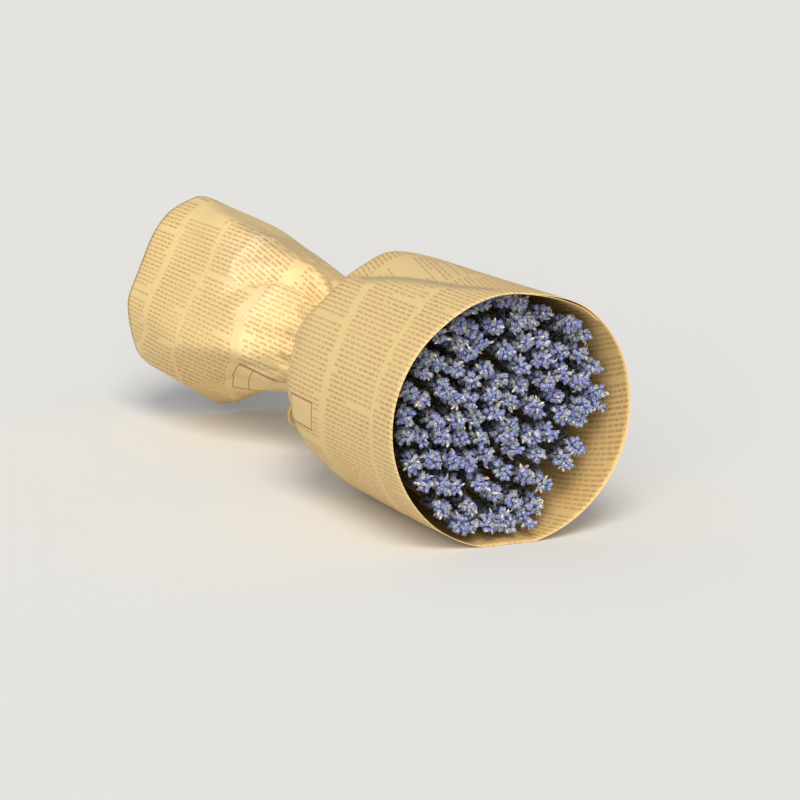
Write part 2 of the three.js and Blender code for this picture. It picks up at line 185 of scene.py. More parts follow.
# How much the sleeve's columns of print bend away from the angle where they are level, upwards and
# downwards: by the waist, on the shoulder and at the mouth
PRINT_LEVEL = 160
BEND_UP, BEND_DOWN = (0.009, 0.0150, 0.0085), (0.016, 0.0110, 0.0030)

# Folds that take up the spare paper of the sleeve's shoulder, as angles, and the angle of the row of
# print that runs straight between each fold and the next
SHOULDER_FOLDS = (
    (56, 72),
    (88, 126),
    (108, 176),
    (214, 198),
    (252, 272),
    (290, 314),
    (336, 355),
    (377, 395),
)

# The skirt's rows lie as on a flat sheet that faces this angle, stretched by this much; its spare
# paper ends at this angle on the far side
SKIRT_FACING, SKIRT_STRETCH, SKIRT_SEAM = 153.7, 1.058, 335.0
SKIRT_FLAT = (-58.0, 75.0)  # turns from there between which the sheet counts as flat
AHEAD = (0.4533, 0.7989, -0.3955)  # the way the rows run on that flat sheet

# The bulge by the waist: lower edge as x and angle, top angle, a point on its left edge and the
# middle of its bare place, each as distances along and across the flat sheet, and the turn of its rows
BULGE = ((-98, 146), (-88, 137), (-76, 128), (-62, 120), (-48, 113), (-28, 108))
BULGE_TOP, BULGE_TURN = 101.0, math.radians(18)
BULGE_LEFT, BULGE_BARE = (-97.8, -10.6), (-59.0, -38.0)

# Boxes in the print: middle along and across and half size each way, and whether a line is drawn
# round them
RULED_BOXES = (
    (334, 250, 17, 9.5, True),
    (138.7, 249.8, 11.2, 12.2, True),
    (186, 249.8, 36, 12.2, True),
    (26, 126, 27, 30, False),
    (385, 609, 24, 6.5, False),
)

# How the stems and heads draw together: x, and scale of the pattern at the mouth
SPREAD = (
    (-178.0, 0.42),
    (-26.5, 0.168),
    (-13.5, 0.168),
    (82.0, 0.8),
    (142.0, 0.952),
    (211.0, 1.012),
)

# How the heads stand, beside where the frame has them
CLEAR = 7.5  # how much further the outer heads on the near side stand off the sheet
FORWARD = 7.0  # how far the heads at the top and on the floor come forward
LOWER = 6.0  # how far those on the floor sink
HEADS_R = 66.5  # no head's tip lies further from the bunch's axis
ROOTS_R = 62.0  # and no root
TURNED = (0, 9.5, -2.5)  # roots move on by this, which turns the heads to the near side
KNEE_X = 82.0  # the stems bend here to follow the roots

# How far each calyx strays: angle and lean in radians, size, place along the stem, and roll
STRAYS = ((-0.6, 0.6), (-0.42, 0.42), (0.66, 1.2), (-2.3, 2.3), (0.0, 6.28))
FULL_TURN = 6.283

# Families of tones: from which share of the pieces on each holds, and its tones from a piece's base to
# its end. A calyx's are blue, violet, grey-green and pale, and its last one is painted shade in the
# mouth.
CALYX_STOPS, END_STOPS = (0.0, 0.35, 0.66, 0.84, 1.0), (0.0, 1.0)
CALYX_TONES = (
    (0.0, ("#75776c", "#6d749f", "#7c88cc", "#aab2d6", "#36364e")),
    (0.42, ("#68675f", "#565c9c", "#646cc8", "#9096cf", "#2c2b46")),
    (0.62, ("#7a7e6c", "#7d8784", "#8f9ca2", "#b0b8ac", "#3c3f3c")),
    (0.84, ("#87887c", "#8e94b2", "#adb5dc", "#d2d4d2", "#4a4a5c")),
)
PETAL_TONES = ((0.0, ("#a8987c", "#e8dcc4")), (0.55, ("#95807c", "#dcc3b4")))
BRACT_TONES = ((0.0, ("#6c604a", "#8f8468")), (0.5, ("#5c5c4c", "#747382")))

# The tie, as points of distance from its middle along the bunch, radius and angle
TIE_RADIUS, TIE_PITCH = 25.0, 2.65
KNOT_ANGLE, KNOT_LIFT = 216.0, 2.4
KNOT_SIZE, KNOT_TURNS, KNOT_STEPS = (3.6, 2.5, 3.0), 3, 60
BOW = (
    (
        (-1, 26, 218), (-4, 38, 218), (-5, 52, 223), (-2, 58, 229),
        (2, 53, 235), (3, 40, 230), (1, 26, 220),
    ),
    (
        (1, 26, 218), (6, 36, 236), (8, 47, 250), (5, 54, 258),
        (0, 50, 264), (-2, 37, 250), (-1, 26, 222),
    ),
    ((-2, 26, 221), (-8, 40, 238), (-11, 55, 244)),
    ((2, 26, 217), (10, 42, 232), (15, 56, 247)),
)

# The camera: direction from the bunch, distance in metres, and where the mouth's middle shows in a
# square picture of this many pixels
VIEW_AZIMUTH, VIEW_ELEVATION, VIEW_DISTANCE = 65.5, 11.6, 2.01375
PICTURE, MOUTH_SHOWS = 800, (513, 421)
SENSOR = 36


def smoothstep(x, low, high):
    """A smooth rise from 0 at the low end to 1 at the high end."""
    t = np.clip((np.asarray(x, float) - low) / (high - low), 0, 1)
    return t * t * (3 - 2 * t)


def linear(hex_colour):
    """An sRGB hex value as linear red, green, blue and alpha."""
    parts = [int(hex_colour[k : k + 2], 16) / 255 for k in (1, 3, 5)]
    return [c / 12.92 if c <= 0.04045 else ((c + 0.055) / 1.055) ** 2.4 for c in parts] + [1.0]


def add(tree, kind, feeds=(), **settings):
    """Adds a node, sets it, and feeds its inputs from other nodes, from sockets or with values.

    The feeds go to the inputs in their order, or by name or number. A node gives the first output
    that it uses.
    """
    made = tree.nodes.new(kind)
    for name, value in settings.items():
        setattr(made, name, value)
    for socket, value in feeds.items() if isinstance(feeds, dict) else enumerate(feeds):
        if isinstance(value, bpy.types.Node):
            value = next(output for output in value.outputs if output.enabled)
        if isinstance(value, bpy.types.NodeSocket):
            tree.links.new(value, made.inputs[socket])
        else:
            made.inputs[socket].default_value = value
    return made


def empty_material(name):
    """A new material and its tree, with no nodes in it."""
    material = bpy.data.materials.new(name)
    material.use_nodes = True
    material.node_tree.nodes.clear()
    return material, material.node_tree


def empty_tree(name, output, values):
    """A new geometry tree with these inputs, what it is given, and its lines made curves."""
    kinds = {int: "Int", float: "Float", bpy.types.Object: "Object"}
    tree = bpy.data.node_groups.new(name, "GeometryNodeTree")
    tree.interface.new_socket(name="Lines", in_out="INPUT", socket_type="NodeSocketGeometry")
    for label, value in values.items():
        kind = "NodeSocket" + kinds[type(value)]
        socket = tree.interface.new_socket(name=label, in_out="INPUT", socket_type=kind)
        socket.default_value = value
    tree.interface.new_socket(name=output, in_out="OUTPUT", socket_type="NodeSocketGeometry")
    given = add(tree, "NodeGroupInput").outputs
    return tree, given, add(tree, "GeometryNodeMeshToCurve", (given["Lines"],))


def follow(table, x):
    """A smooth curve through a table of two columns that keeps its rises and falls."""
    xs, ys = (np.array(column, float) for column in zip(*table))
    h = np.diff(xs)
    rise = np.diff(ys) / h
    slope = np.zeros(len(xs))
    for k in range(1, len(xs) - 1):
        if rise[k - 1] * rise[k] > 0:
            a, b = 2 * h[k] + h[k - 1], h[k] + 2 * h[k - 1]
            slope[k] = (a + b) / (a / rise[k - 1] + b / rise[k])
    slope[0], slope[-1] = rise[0], rise[-1]
    x = np.clip(x, xs[0], xs[-1])
    k = np.clip(np.searchsorted(xs, x, side="right") - 1, 0, len(h) - 1)
    t = (x - xs[k]) / h[k]
    start = ys[k] * (1 + 2 * t) * (1 - t) ** 2 + h[k] * slope[k] * t * (1 - t) ** 2
    end = ys[k + 1] * t * t * (3 - 2 * t) + h[k] * slope[k + 1] * t * t * (t - 1)
    return start + end


def noise_cells(cells, u, v):
    """The cells of a table that closes round on both sides of each point, and its share between."""
    i, j = np.floor(u).astype(int), np.floor(v).astype(int)
    return i % cells, (i + 1) % cells, j % NOISE_ROWS, (j + 1) % NOISE_ROWS, u - i, v - j


def soft_noise(seed, angle, along, cells, length):
    """Smooth noise from 0 to 1 in this many cells round the bunch, each of this length along it."""
    table = np.random.RandomState(seed).rand(cells, NOISE_ROWS)
    u, v = np.asarray(angle) / 360 * cells, (np.asarray(along) + NOISE_START) / length
    i0, i1, j0, j1, a, b = noise_cells(cells, u, v)
    a, b = smoothstep(a, 0, 1), smoothstep(b, 0, 1)
    low = table[i0, j0] * (1 - a) + table[i1, j0] * a
    high = table[i0, j1] * (1 - a) + table[i1, j1] * a
    return low * (1 - b) + high * b


def facet_noise(seed, angle, along, cells, length):
    """Noise from -1 to 1 made of flat triangles, as in crumpled paper, that closes round the bunch."""
    table = np.random.RandomState(seed).rand(cells, NOISE_ROWS) * 2 - 1
    drift, sway = (soft_noise(seed + k, angle, along, cells, length) - 0.5 for k in (50, 60))
    u = np.asarray(angle) / 360 * cells + 0.7 * drift
    v = (np.asarray(along) + NOISE_START) / length + 0.7 * sway
    i0, i1, j0, j1, a, b = noise_cells(cells, u, v)
    near = table[i0, j0] * (1 - a - b) + table[i1, j0] * a + table[i0, j1] * b
    far = table[i1, j1] * (a + b - 1) + table[i1, j0] * (1 - b) + table[i0, j1] * (1 - a)
    return np.where(a + b < 1, near, far)


def finish_piece(piece, slot, *nodes):
    """Rides the piece on the bunch, in place of the frame's nodes."""
    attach(piece, "root")
    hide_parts(*nodes)


def mesh_of_tree(name, source, tree, values):
    """Runs a geometry tree on a source mesh and returns the result as a plain object."""
    carrier = bpy.data.objects.new(name + "_source", source)
    bpy.context.scene.collection.objects.link(carrier)
    modifier = carrier.modifiers.new("build", "NODES")
    modifier.node_group = tree
    for item in tree.interface.items_tree:
        if item.item_type == "SOCKET" and item.in_out == "INPUT" and item.name in values:
            modifier[item.identifier] = values[item.name]
    bpy.context.view_layer.update()
    depsgraph = bpy.context.evaluated_depsgraph_get()
    mesh = bpy.data.meshes.new_from_object(carrier.evaluated_get(depsgraph))
    carrier.modifiers.remove(modifier)
    bpy.data.objects.remove(carrier)
    if not mesh.polygons:
        raise RuntimeError(f"the tree for {name} made no faces")
    mesh.name = name
    piece = bpy.data.objects.new(name, mesh)
    bpy.context.scene.collection.objects.link(piece)
    return piece


def store(mesh, name, values):
    """Keeps a number at each point of a mesh, for its material to read."""
    layer = mesh.attributes.new(name, "FLOAT", "POINT")
    layer.data.foreach_set("value", np.asarray(values, np.float32))


def store_map(mesh, name, corners):
    """Keeps a place on a flat map for each corner of each face."""
    layer = mesh.uv_layers.new(name=name)
    layer.data.foreach_set("uv", corners.reshape(-1).astype(np.float32))


def polylines(name, routes):
    """A mesh of open lines, one for each route of points in millimetres."""
    points, edges = [], []
    for route in routes:
        first = len(points)
        points += [Vector(p) * MM for p in route]
        edges += [(k, k + 1) for k in range(first, len(points) - 1)]
    mesh = bpy.data.meshes.new(name)
    mesh.from_pydata(points, edges, [])
    return mesh


# The paper sheet


def lap_edge(x):
    """Angle of the sheet's outer free edge."""
    return np.interp(x, *LAP_EDGE)


def sheet_section(x):
    """Mean radius of the sheet and depth of its gathers."""
    return [follow([(s[0], s[k]) for s in SHEET], x) for k in (1, 2)]


def creased_radius(x, angle, radius):
    """The radius, cut down where a flat side passes inside it, with the creases slightly rounded."""
    r = radius
    for at, x0, out0, x1, out1 in FLATS:
        facing = np.cos(np.radians(angle - at))
        share = np.clip((x - x0) / (x1 - x0), 0, 1)
        reach = (out0 + (out1 - out0) * share) / np.maximum(facing, FLAT_REACH)
        near = np.maximum(CREASE_ROUND - np.abs(r - reach), 0) / CREASE_ROUND
        cut = np.minimum(r, reach) - near * near * CREASE_ROUND / 4
        use = ((x - WAIST_X) * (x1 - WAIST_X) > 0) & (facing >= FLAT_REACH)
        r = np.where(use, cut, r)
    return r


def crease_depth(x, angle, line, depth, width):
    """Depth of one pressed crease: a sharp fold that fades away to each side."""
    y = np.radians(angle) * ROUND_R
    nearest = np.full(np.shape(x), 1e9)
    points = [(px, math.radians(at) * ROUND_R) for px, at in line]
    for (ax, ay), (bx, by) in zip(points, points[1:]):
        length = (bx - ax) ** 2 + (by - ay) ** 2
        t = np.clip(((x - ax) * (bx - ax) + (y - ay) * (by - ay)) / length, 0, 1)
        nearest = np.minimum(nearest, np.hypot(x - ax - t * (bx - ax), y - ay - t * (by - ay)))
    return depth * np.exp(-nearest / width)


def gathers(turn, x):
    """The gathers round the waist, from -1 to 1: sharper than a wave, and uneven away from the tie."""
    far = np.abs(x - WAIST_X)
    away = smoothstep(far, TIED_L, 40)
    kept = 1 - 0.7 * smoothstep(far, 12, 34)
    a = np.radians(turn)
    phase = PLEATS * a + away * (0.45 * np.sin(3 * a + x / 38) + 0.35 * np.sin(5 * a - x / 27))
    fold = 2 * np.abs(np.mod(phase / (2 * math.pi) + 1, 1) * 2 - 1) - 1
    wave = 0.45 * np.cos(phase) + 0.55 * fold
    uneven = 1 + away * (0.3 * np.sin(2 * a + 1.3) + 0.25 * np.sin(7 * a + x / 30))
    return wave * uneven * kept


def crumple(turn, x, strength):
    """Creases pressed in by the hand that gathered the sheet, deepest by the waist.

    They are large and small facets, long ones that run out from the waist, and a slow swell.
    """
    far = np.abs(x - WAIST_X)
    near = np.exp(-((np.maximum(far - 12, 0) / 34) ** 2))
    skirt = smoothstep(-x, 40, 80) * (1 - 0.5 * smoothstep(-x, 100, 200))
    large = facet_noise(3, turn + x * 0.2, x, 14, 30) * (1.7 * near + 0.55 * skirt)
    small = facet_noise(4, turn - x * 0.3, x, 30, 13) * (0.8 * near + 0.18 * skirt)
    radial = facet_noise(6, turn, x, 44, 60) * 1.1 * near
    slow = (soft_noise(5, turn, x, 9, 70) - 0.5) * 1.1
    return strength * smoothstep(far, TIED_L, 24) * (large + small + radial + slow)


def sheet_surface(turn, x, paper):
    """Middle of the sheet at a turn from its outer edge and a place along the bunch."""
    angle = lap_edge(x) + turn
    sine, cosine = np.sin(np.radians(angle)), np.cos(np.radians(angle))
    radius, depth = sheet_section(x)
    past = np.mod(angle - FLARE_ANGLE + 180, 360) - 180
    flare = np.maximum(np.cos(np.radians(90 / FLARE_WIDTH * past)), 0) * (np.abs(past) < FLARE_WIDTH)
    r = creased_radius(x, angle, radius) + FLARE * flare**2 * smoothstep(-x, 160, -HEM_X)
    r = r + depth * gathers(turn, x)
    r = r + crumple(np.mod(turn, 360), x, paper.crumple)
    for line, fold, width in CREASES:
        r = r + crease_depth(x, np.mod(angle, 360), line, fold, width)

    # The lap's layer lies over the one under it, and comes down on it towards its edge
    loose = smoothstep(np.abs(x - WAIST_X), TIED_L, LOOSE_L)
    r = r + LAP_RISE * loose * smoothstep(turn, INNER_EDGE - 50, INNER_EDGE - 4)
    gap = paper.edge_gap / MM + paper.thickness / MM
    r = r - (LAP_RISE - gap) * loose * smoothstep(turn, 330, 356)

    lean = MOUTH_LEAN * sine * smoothstep(x, 70, MOUTH_X)
    askew = HEM_LEAN * np.cos(np.radians(angle - HEM_LEAN_ANGLE))
    hem = (askew + HEM_WAVE * np.cos(np.radians(3 * angle))) * smoothstep(-x, 110, -HEM_X)
    z = np.maximum(AXIS_Z + r * sine, SOLE)
    return np.stack([x + lean + hem, r * cosine, z], -1)


def sleeve_print(angle, x, radius):
    """Places in the print on the sleeve: how far a column bends along it, and the place across."""
    near_side = np.mod(angle, 360)
    sleeve, mouthward = smoothstep(x, 0, 80), smoothstep(x, 110, 182)
    bends = []
    for away, (waist, shoulder, mouth) in (
        (PRINT_LEVEL - near_side, BEND_UP),
        (near_side - PRINT_LEVEL, BEND_DOWN),
    ):
        bend = (shoulder * (1 - mouthward) + mouth * mouthward) * sleeve + waist * (1 - sleeve)
        bends.append(bend * np.maximum(away, 0) ** 2)
    most = 34 + 51 * (1 - sleeve)
    bend = most * np.tanh((bends[0] + bends[1]) / most)

    # Where the sheet narrows, its rows keep their distance and their spare width goes into the folds
    kept = np.minimum(radius / 67, 1)
    first = SHOULDER_FOLDS[0][0]
    seen = np.mod(angle - first, 360) + first
    folds, rows = (np.array(column) for column in zip(*SHOULDER_FOLDS))
    row = rows[np.searchsorted(folds, seen, side="right") - 1]
    across = np.radians(row + angle - seen + kept * (seen - row)) * ROUND_R
    return bend, across


def skirt_print(angle, x, middle):
    """Places in the print on the skirt, whose rows lie as on a flat sheet seen from the near side."""
    r = np.hypot(middle[..., 1], middle[..., 2] - AXIS_Z)
    side = np.mod(angle - SKIRT_SEAM, 360) + SKIRT_SEAM - 360 - SKIRT_FACING
    flat = np.clip(side, *SKIRT_FLAT)
    down = r * (np.sin(np.radians(flat)) + np.radians(side - flat))
    edge = np.radians(flat + SKIRT_FACING)
    ahead = AHEAD[0] * middle[..., 0] + r * (AHEAD[1] * np.cos(edge) + AHEAD[2] * np.sin(edge))
    across = np.radians(SKIRT_FACING) * ROUND_R + SKIRT_STRETCH * down * (1 - 0.0007 * (x + 130))
    low = 1.7 * np.maximum(side - 33, 0)
    high = 0.006 * np.maximum(-side - 4, 0) ** 2
    along = follow(PRINT_ALONG, x + 140 * np.tanh(low / 140) + 85 * np.tanh(high / 85))

    # The bulge's rows run down more steeply than the rest
    bulge = (np.mod(angle, 360) > BULGE_TOP) & (np.mod(angle, 360) < np.interp(x, *zip(*BULGE)))
    c, s = math.cos(BULGE_TURN), math.sin(BULGE_TURN)
    past = s * (ahead - BULGE_LEFT[0]) + (1 - c) * (down - BULGE_LEFT[1])
    inside = bulge & (past > 0) & (x > -125)
    bare = c * (ahead - BULGE_BARE[0]) + s * (down - BULGE_BARE[1])
    across = np.where(inside, across - SKIRT_STRETCH * past, across)
    along = np.where(inside, 122 + SKIRT_STRETCH * bare, along)
    return along, across


def print_places(turn, x, middle):
    """Where each point of the sheet lies in the print, in millimetres along the rows and across."""
    angle = lap_edge(x) + turn
    bend, across = sleeve_print(angle, x, sheet_section(x)[0])
    skew = 0.25 * smoothstep(turn, 120, 320) * smoothstep(x, -20, 60)
    across = across - skew * (x - 110)
    skirt_along, skirt_across = skirt_print(angle, x, middle)
    skirt = x < WAIST_X
    along = np.where(skirt, skirt_along, follow(PRINT_ALONG, x + bend))
    return along, np.where(skirt, skirt_across, across)


def sheet_grid():
    """Turn and x of the sheet's points, which lie closest by the waist and at the free edges."""
    stations = np.array([s[:2] for s in SHEET], float)
    weights = np.where(stations[1:, 0] <= -110, 0.75, np.where(stations[:-1, 0] < 60, 1.35, 0.5))
    steps = np.r_[0, np.cumsum(weights * np.hypot(*np.diff(stations, axis=0).T))]
    xs = np.interp(np.linspace(0, steps[-1], SHEET_ROWS), steps, stations[:, 0])
    edge = np.array([0.0, 0.25])
    middle = np.linspace(INNER_EDGE - 360 + 1.2, 360 - 1.2, SHEET_COLUMNS - 4)
    return np.meshgrid(np.r_[INNER_EDGE - 360 + edge, middle, 360 - edge[::-1]], xs)


def sheet_faces(turn, x, middle, paper):
    """Points of the sheet's outer and inner face, both flat where it lies on the floor."""
    ahead = sheet_surface(turn, np.minimum(x + 0.5, MOUTH_X), paper)
    behind = sheet_surface(turn, np.maximum(x - 0.5, HEM_X), paper)
    onward = sheet_surface(turn + 0.3, x, paper) - sheet_surface(turn - 0.3, x, paper)
    normal = np.cross(onward, ahead - behind)
    normal /= np.linalg.norm(normal, axis=-1, keepdims=True) + 1e-12
    outer, inner = middle.copy(), middle - paper.thickness / MM * normal
    inner[..., 2] = np.maximum(inner[..., 2], SOLE)
    outer[..., 2] = np.where(outer[..., 2] <= SOLE, 0.0, outer[..., 2])
    return np.concatenate([outer.reshape(-1, 3), inner.reshape(-1, 3)])


def sheet_quads():
    """Corners of the sheet's faces on both sides, and of the narrow ones round its rim."""
    count = SHEET_ROWS * SHEET_COLUMNS
    index = np.arange(count).reshape(SHEET_ROWS, SHEET_COLUMNS)
    a, b = index[:-1, :-1].ravel(), index[:-1, 1:].ravel()
    c, d = index[1:, 1:].ravel(), index[1:, :-1].ravel()
    sides = np.concatenate([np.stack([a, b, c, d], -1), np.stack([d, c, b, a], -1) + count])
    rim = []
    for line, flip in zip((index[0], index[-1], index[:, 0], index[:, -1]), (0, 1, 1, 0)):
        p, q = line[:-1], line[1:]
        quad = np.stack([q, p, p + count, q + count], -1)
        rim.append(quad[:, ::-1] if flip else quad)
    return sides, np.concatenate(rim)


def sheet_painted_light(turn, x):
    """Strength of painted light: shade by the lap's edge, highlights on the ridges, a glow by the
    waist.
    """
    past = np.mod(turn, 360)
    beyond = np.where(past > 180, (360 - past) * LAP_SHADE_OVER, past)
    shaded = np.exp(-((np.radians(beyond) * ROUND_R / LAP_SHADE_WIDTH) ** 2))
    shaded = shaded * smoothstep(x, 60, 95) * (1 - smoothstep(x, 190, 208))
    angle = np.mod(lap_edge(x) + turn, 360)
    ridges = [line for line, depth, _ in CREASES if depth > HIGHLIT_DEPTH]
    highlit = sum(crease_depth(x, angle, line, 1.0, HIGHLIT_WIDTH) for line in ridges)
    away = np.hypot((x - GLOW[0]) / GLOW[2], (angle - GLOW[1]) / GLOW[3])
    return {"shaded": shaded, "highlit": np.clip(highlit, 0, 1), "glow": np.exp(-(away**2))}


def flat_layout(sides, rim):
    """A flat map of the sheet: its outer face below, its inner face above, its rim in lanes between."""
    spare, lanes = 0.006, 4
    u = np.linspace(spare, 1 - spare, SHEET_COLUMNS)
    u, v = (part.ravel() for part in np.meshgrid(u, np.linspace(spare, 0.485, SHEET_ROWS)))
    flat = np.concatenate([np.stack([u, v], -1), np.stack([u, 1 - v], -1)])
    corners = flat[np.concatenate([sides, rim])]
    strip = np.arange(len(rim))
    places = len(rim) // lanes + 2
    for corner, (right, up) in enumerate(((0, 0), (1, 0), (1, 1), (0, 1))):
        corners[len(sides) :, corner, 0] = (strip // lanes) / places + right * (0.9 / places)
        corners[len(sides) :, corner, 1] = 0.4885 + 0.003 * (strip % lanes) + up * 0.0024
    return corners


def sheet_mesh(paper):
    """The sheet as a thin closed shell, with the print's places and a flat layout as its UV maps."""
    turn, x = sheet_grid()
    middle = sheet_surface(turn, x, paper)
    sides, rim = sheet_quads()
    quads = np.concatenate([sides, rim])
    mesh = bpy.data.meshes.new("paper_sheet")
    points = sheet_faces(turn, x, middle, paper) * MM
    mesh.from_pydata(points.tolist(), [], quads.tolist())
    mesh.polygons.foreach_set("use_smooth", np.arange(len(quads)) < len(sides))

    # The rim shows the same print as the outer face
    page = np.stack([part.ravel() for part in print_places(turn, x, middle)], -1) * MM
    corners = np.concatenate([page, page + np.array(INNER_PRINT)])[quads]
    corners[len(sides) :] = page[rim % turn.size]
    store_map(mesh, "Print", corners)
    # Painted shade, highlights and glow are kept at each point for the material
    for name, values in sheet_painted_light(turn, x).items():
        store(mesh, name, np.tile(values.ravel(), 2))
    store(mesh, "inner", np.repeat([0.0, 1.0], turn.size))
    store_map(mesh, "OFBake", flat_layout(sides, rim))
    mesh.uv_layers["Print"].active_render = True
    mesh.uv_layers.active = mesh.uv_layers["Print"]
    return mesh


def print_ink(tree, paper, page):
    """Strength of the print: rows of word-long dashes in columns, and a few ruled or bare boxes."""
    split = add(tree, "ShaderNodeSeparateXYZ", (page,))
    along, across = split.outputs["X"], split.outputs["Y"]

    # Rows of print, one each line pitch across the sheet
    line = add(tree, MATH, (across, paper.line_pitch), operation="DIVIDE")
    row = add(tree, MATH, (line,), operation="FLOOR")
    part = add(tree, MATH, (line, row), operation="SUBTRACT")
    off = add(tree, MATH, (part, 0.5), operation="SUBTRACT")
    off = add(tree, MATH, (off,), operation="ABSOLUTE")
    in_row = add(
        tree, MAP_RANGE,
        {"Value": off, "From Min": 0.17, "From Max": 0.29, "To Min": 1.0, "To Max": 0.0},
        interpolation_type="SMOOTHSTEP",
    )

    # Words: cells of uneven length along each row, with a blank between them and uneven ink
    shift = add(tree, MATH, (row, 7.313), operation="MULTIPLY")
    words = add(tree, MATH, (along, 1 / paper.word_length, shift), operation="MULTIPLY_ADD")
    cells = add(
        tree, "ShaderNodeTexVoronoi", {"W": words, "Scale": 1.0, "Randomness": 1.0},
        voronoi_dimensions="1D", feature="DISTANCE_TO_EDGE",
    )
    in_word = add(
        tree, MAP_RANGE, {"Value": cells.outputs["Distance"], "From Min": 0.06, "From Max": 0.12},
        interpolation_type="SMOOTHSTEP",
    )
    blots = add(
        tree, NOISE, {"Vector": page, "Scale": 1 / (1.1 * MM), "Detail": 1.0}, noise_dimensions="2D"
    )
    inked = add(
        tree, MAP_RANGE, {"Value": blots, "From Min": 0.34, "From Max": 0.52, "To Min": 0.35}
    )

    # Columns, with a wide and a narrow gutter in turn
    column = add(tree, MATH, (along, paper.column_width), operation="DIVIDE")
    number = add(tree, MATH, (column,), operation="FLOOR")
    share = add(tree, MATH, (column, number), operation="SUBTRACT")
    odd = add(tree, MATH, (number, 2.0), operation="FLOORED_MODULO")
    gutters = paper.wide_gutter / 2, paper.narrow_gutter / 2
    left_gap, right_gap = (
        add(tree, MAP_RANGE, {"Value": odd, "To Min": even_one, "To Max": odd_one})
        for even_one, odd_one in (gutters, gutters[::-1])
    )
    from_left = add(tree, MATH, (share, paper.column_width), operation="MULTIPLY")
    from_right = add(tree, MATH, (paper.column_width, from_left), operation="SUBTRACT")

    # Some rows end early, as the last line of a paragraph does, and a few are blank
    cell = add(tree, "ShaderNodeCombineXYZ", {"X": row, "Y": number})
    chance = add(tree, "ShaderNodeTexWhiteNoise", {"Vector": cell}, noise_dimensions="3D")
    ends, missing, starts = add(
        tree, "ShaderNodeSeparateColor", (chance.outputs["Color"],)
    ).outputs
    short = add(tree, MATH, (ends, 0.88), operation="GREATER_THAN")
    missing = add(tree, MATH, (missing, 0.7 * paper.column_width), operation="MULTIPLY")
    missing = add(tree, MATH, (missing, short), operation="MULTIPLY")
    right_gap = add(tree, MATH, (right_gap, missing), operation="ADD")
    blank = add(tree, MATH, (starts, 0.012), operation="GREATER_THAN")
    late = add(
        tree, MAP_RANGE, {"Value": starts, "From Min": 0.9, "From Max": 1.0, "To Max": 7 * MM}
    )
    left_gap = add(tree, MATH, (left_gap, late), operation="ADD")
    left = add(tree, MATH, (from_left, left_gap), operation="GREATER_THAN")
    right = add(tree, MATH, (from_right, right_gap), operation="GREATER_THAN")
    ink = in_row
    for factor in (in_word, inked, left, right, blank):
        ink = add(tree, MATH, (ink, factor), operation="MULTIPLY")

    # Ruled boxes that hold nothing, and places left bare
    rules = None
    for middle_along, middle_across, half_along, half_across, ruled in RULED_BOXES:
        reach = []
        for value, middle, half in (
            (along, middle_along, half_along),
            (across, middle_across, half_across),
        ):
            gap = add(tree, MATH, (value, middle * MM), operation="SUBTRACT")
            gap = add(tree, MATH, (gap,), operation="ABSOLUTE")
            reach.append(add(tree, MATH, (gap, half * MM), operation="SUBTRACT"))
        outside = add(tree, MATH, (reach[0], reach[1]), operation="MAXIMUM")
        clear = add(tree, MATH, (outside, 1.5 * MM), operation="GREATER_THAN")
        ink = add(tree, MATH, (ink, clear), operation="MULTIPLY")
        if ruled:
            rule = add(tree, MATH, (outside,), operation="ABSOLUTE")
            rule = add(tree, MATH, (rule, 0.75 * MM), operation="LESS_THAN")
            if rules:
                rule = add(tree, MATH, (rules, rule), operation="MAXIMUM")
            rules = rule

    # The print is paler in patches, the rules are not
    patches = add(
        tree, NOISE, {"Vector": page, "Scale": 1 / (35 * MM), "Detail": 2.0}, noise_dimensions="2D"
    )
    strength = add(
        tree, MAP_RANGE,
        {"Value": patches, "From Min": 0.3, "From Max": 0.7, "To Min": 0.44, "To Max": 0.68},
    )
    ink = add(tree, MATH, (ink, strength), operation="MULTIPLY")
    rules = add(tree, MATH, (rules, 0.85), operation="MULTIPLY")
    return add(tree, MATH, (ink, rules), operation="MAXIMUM")


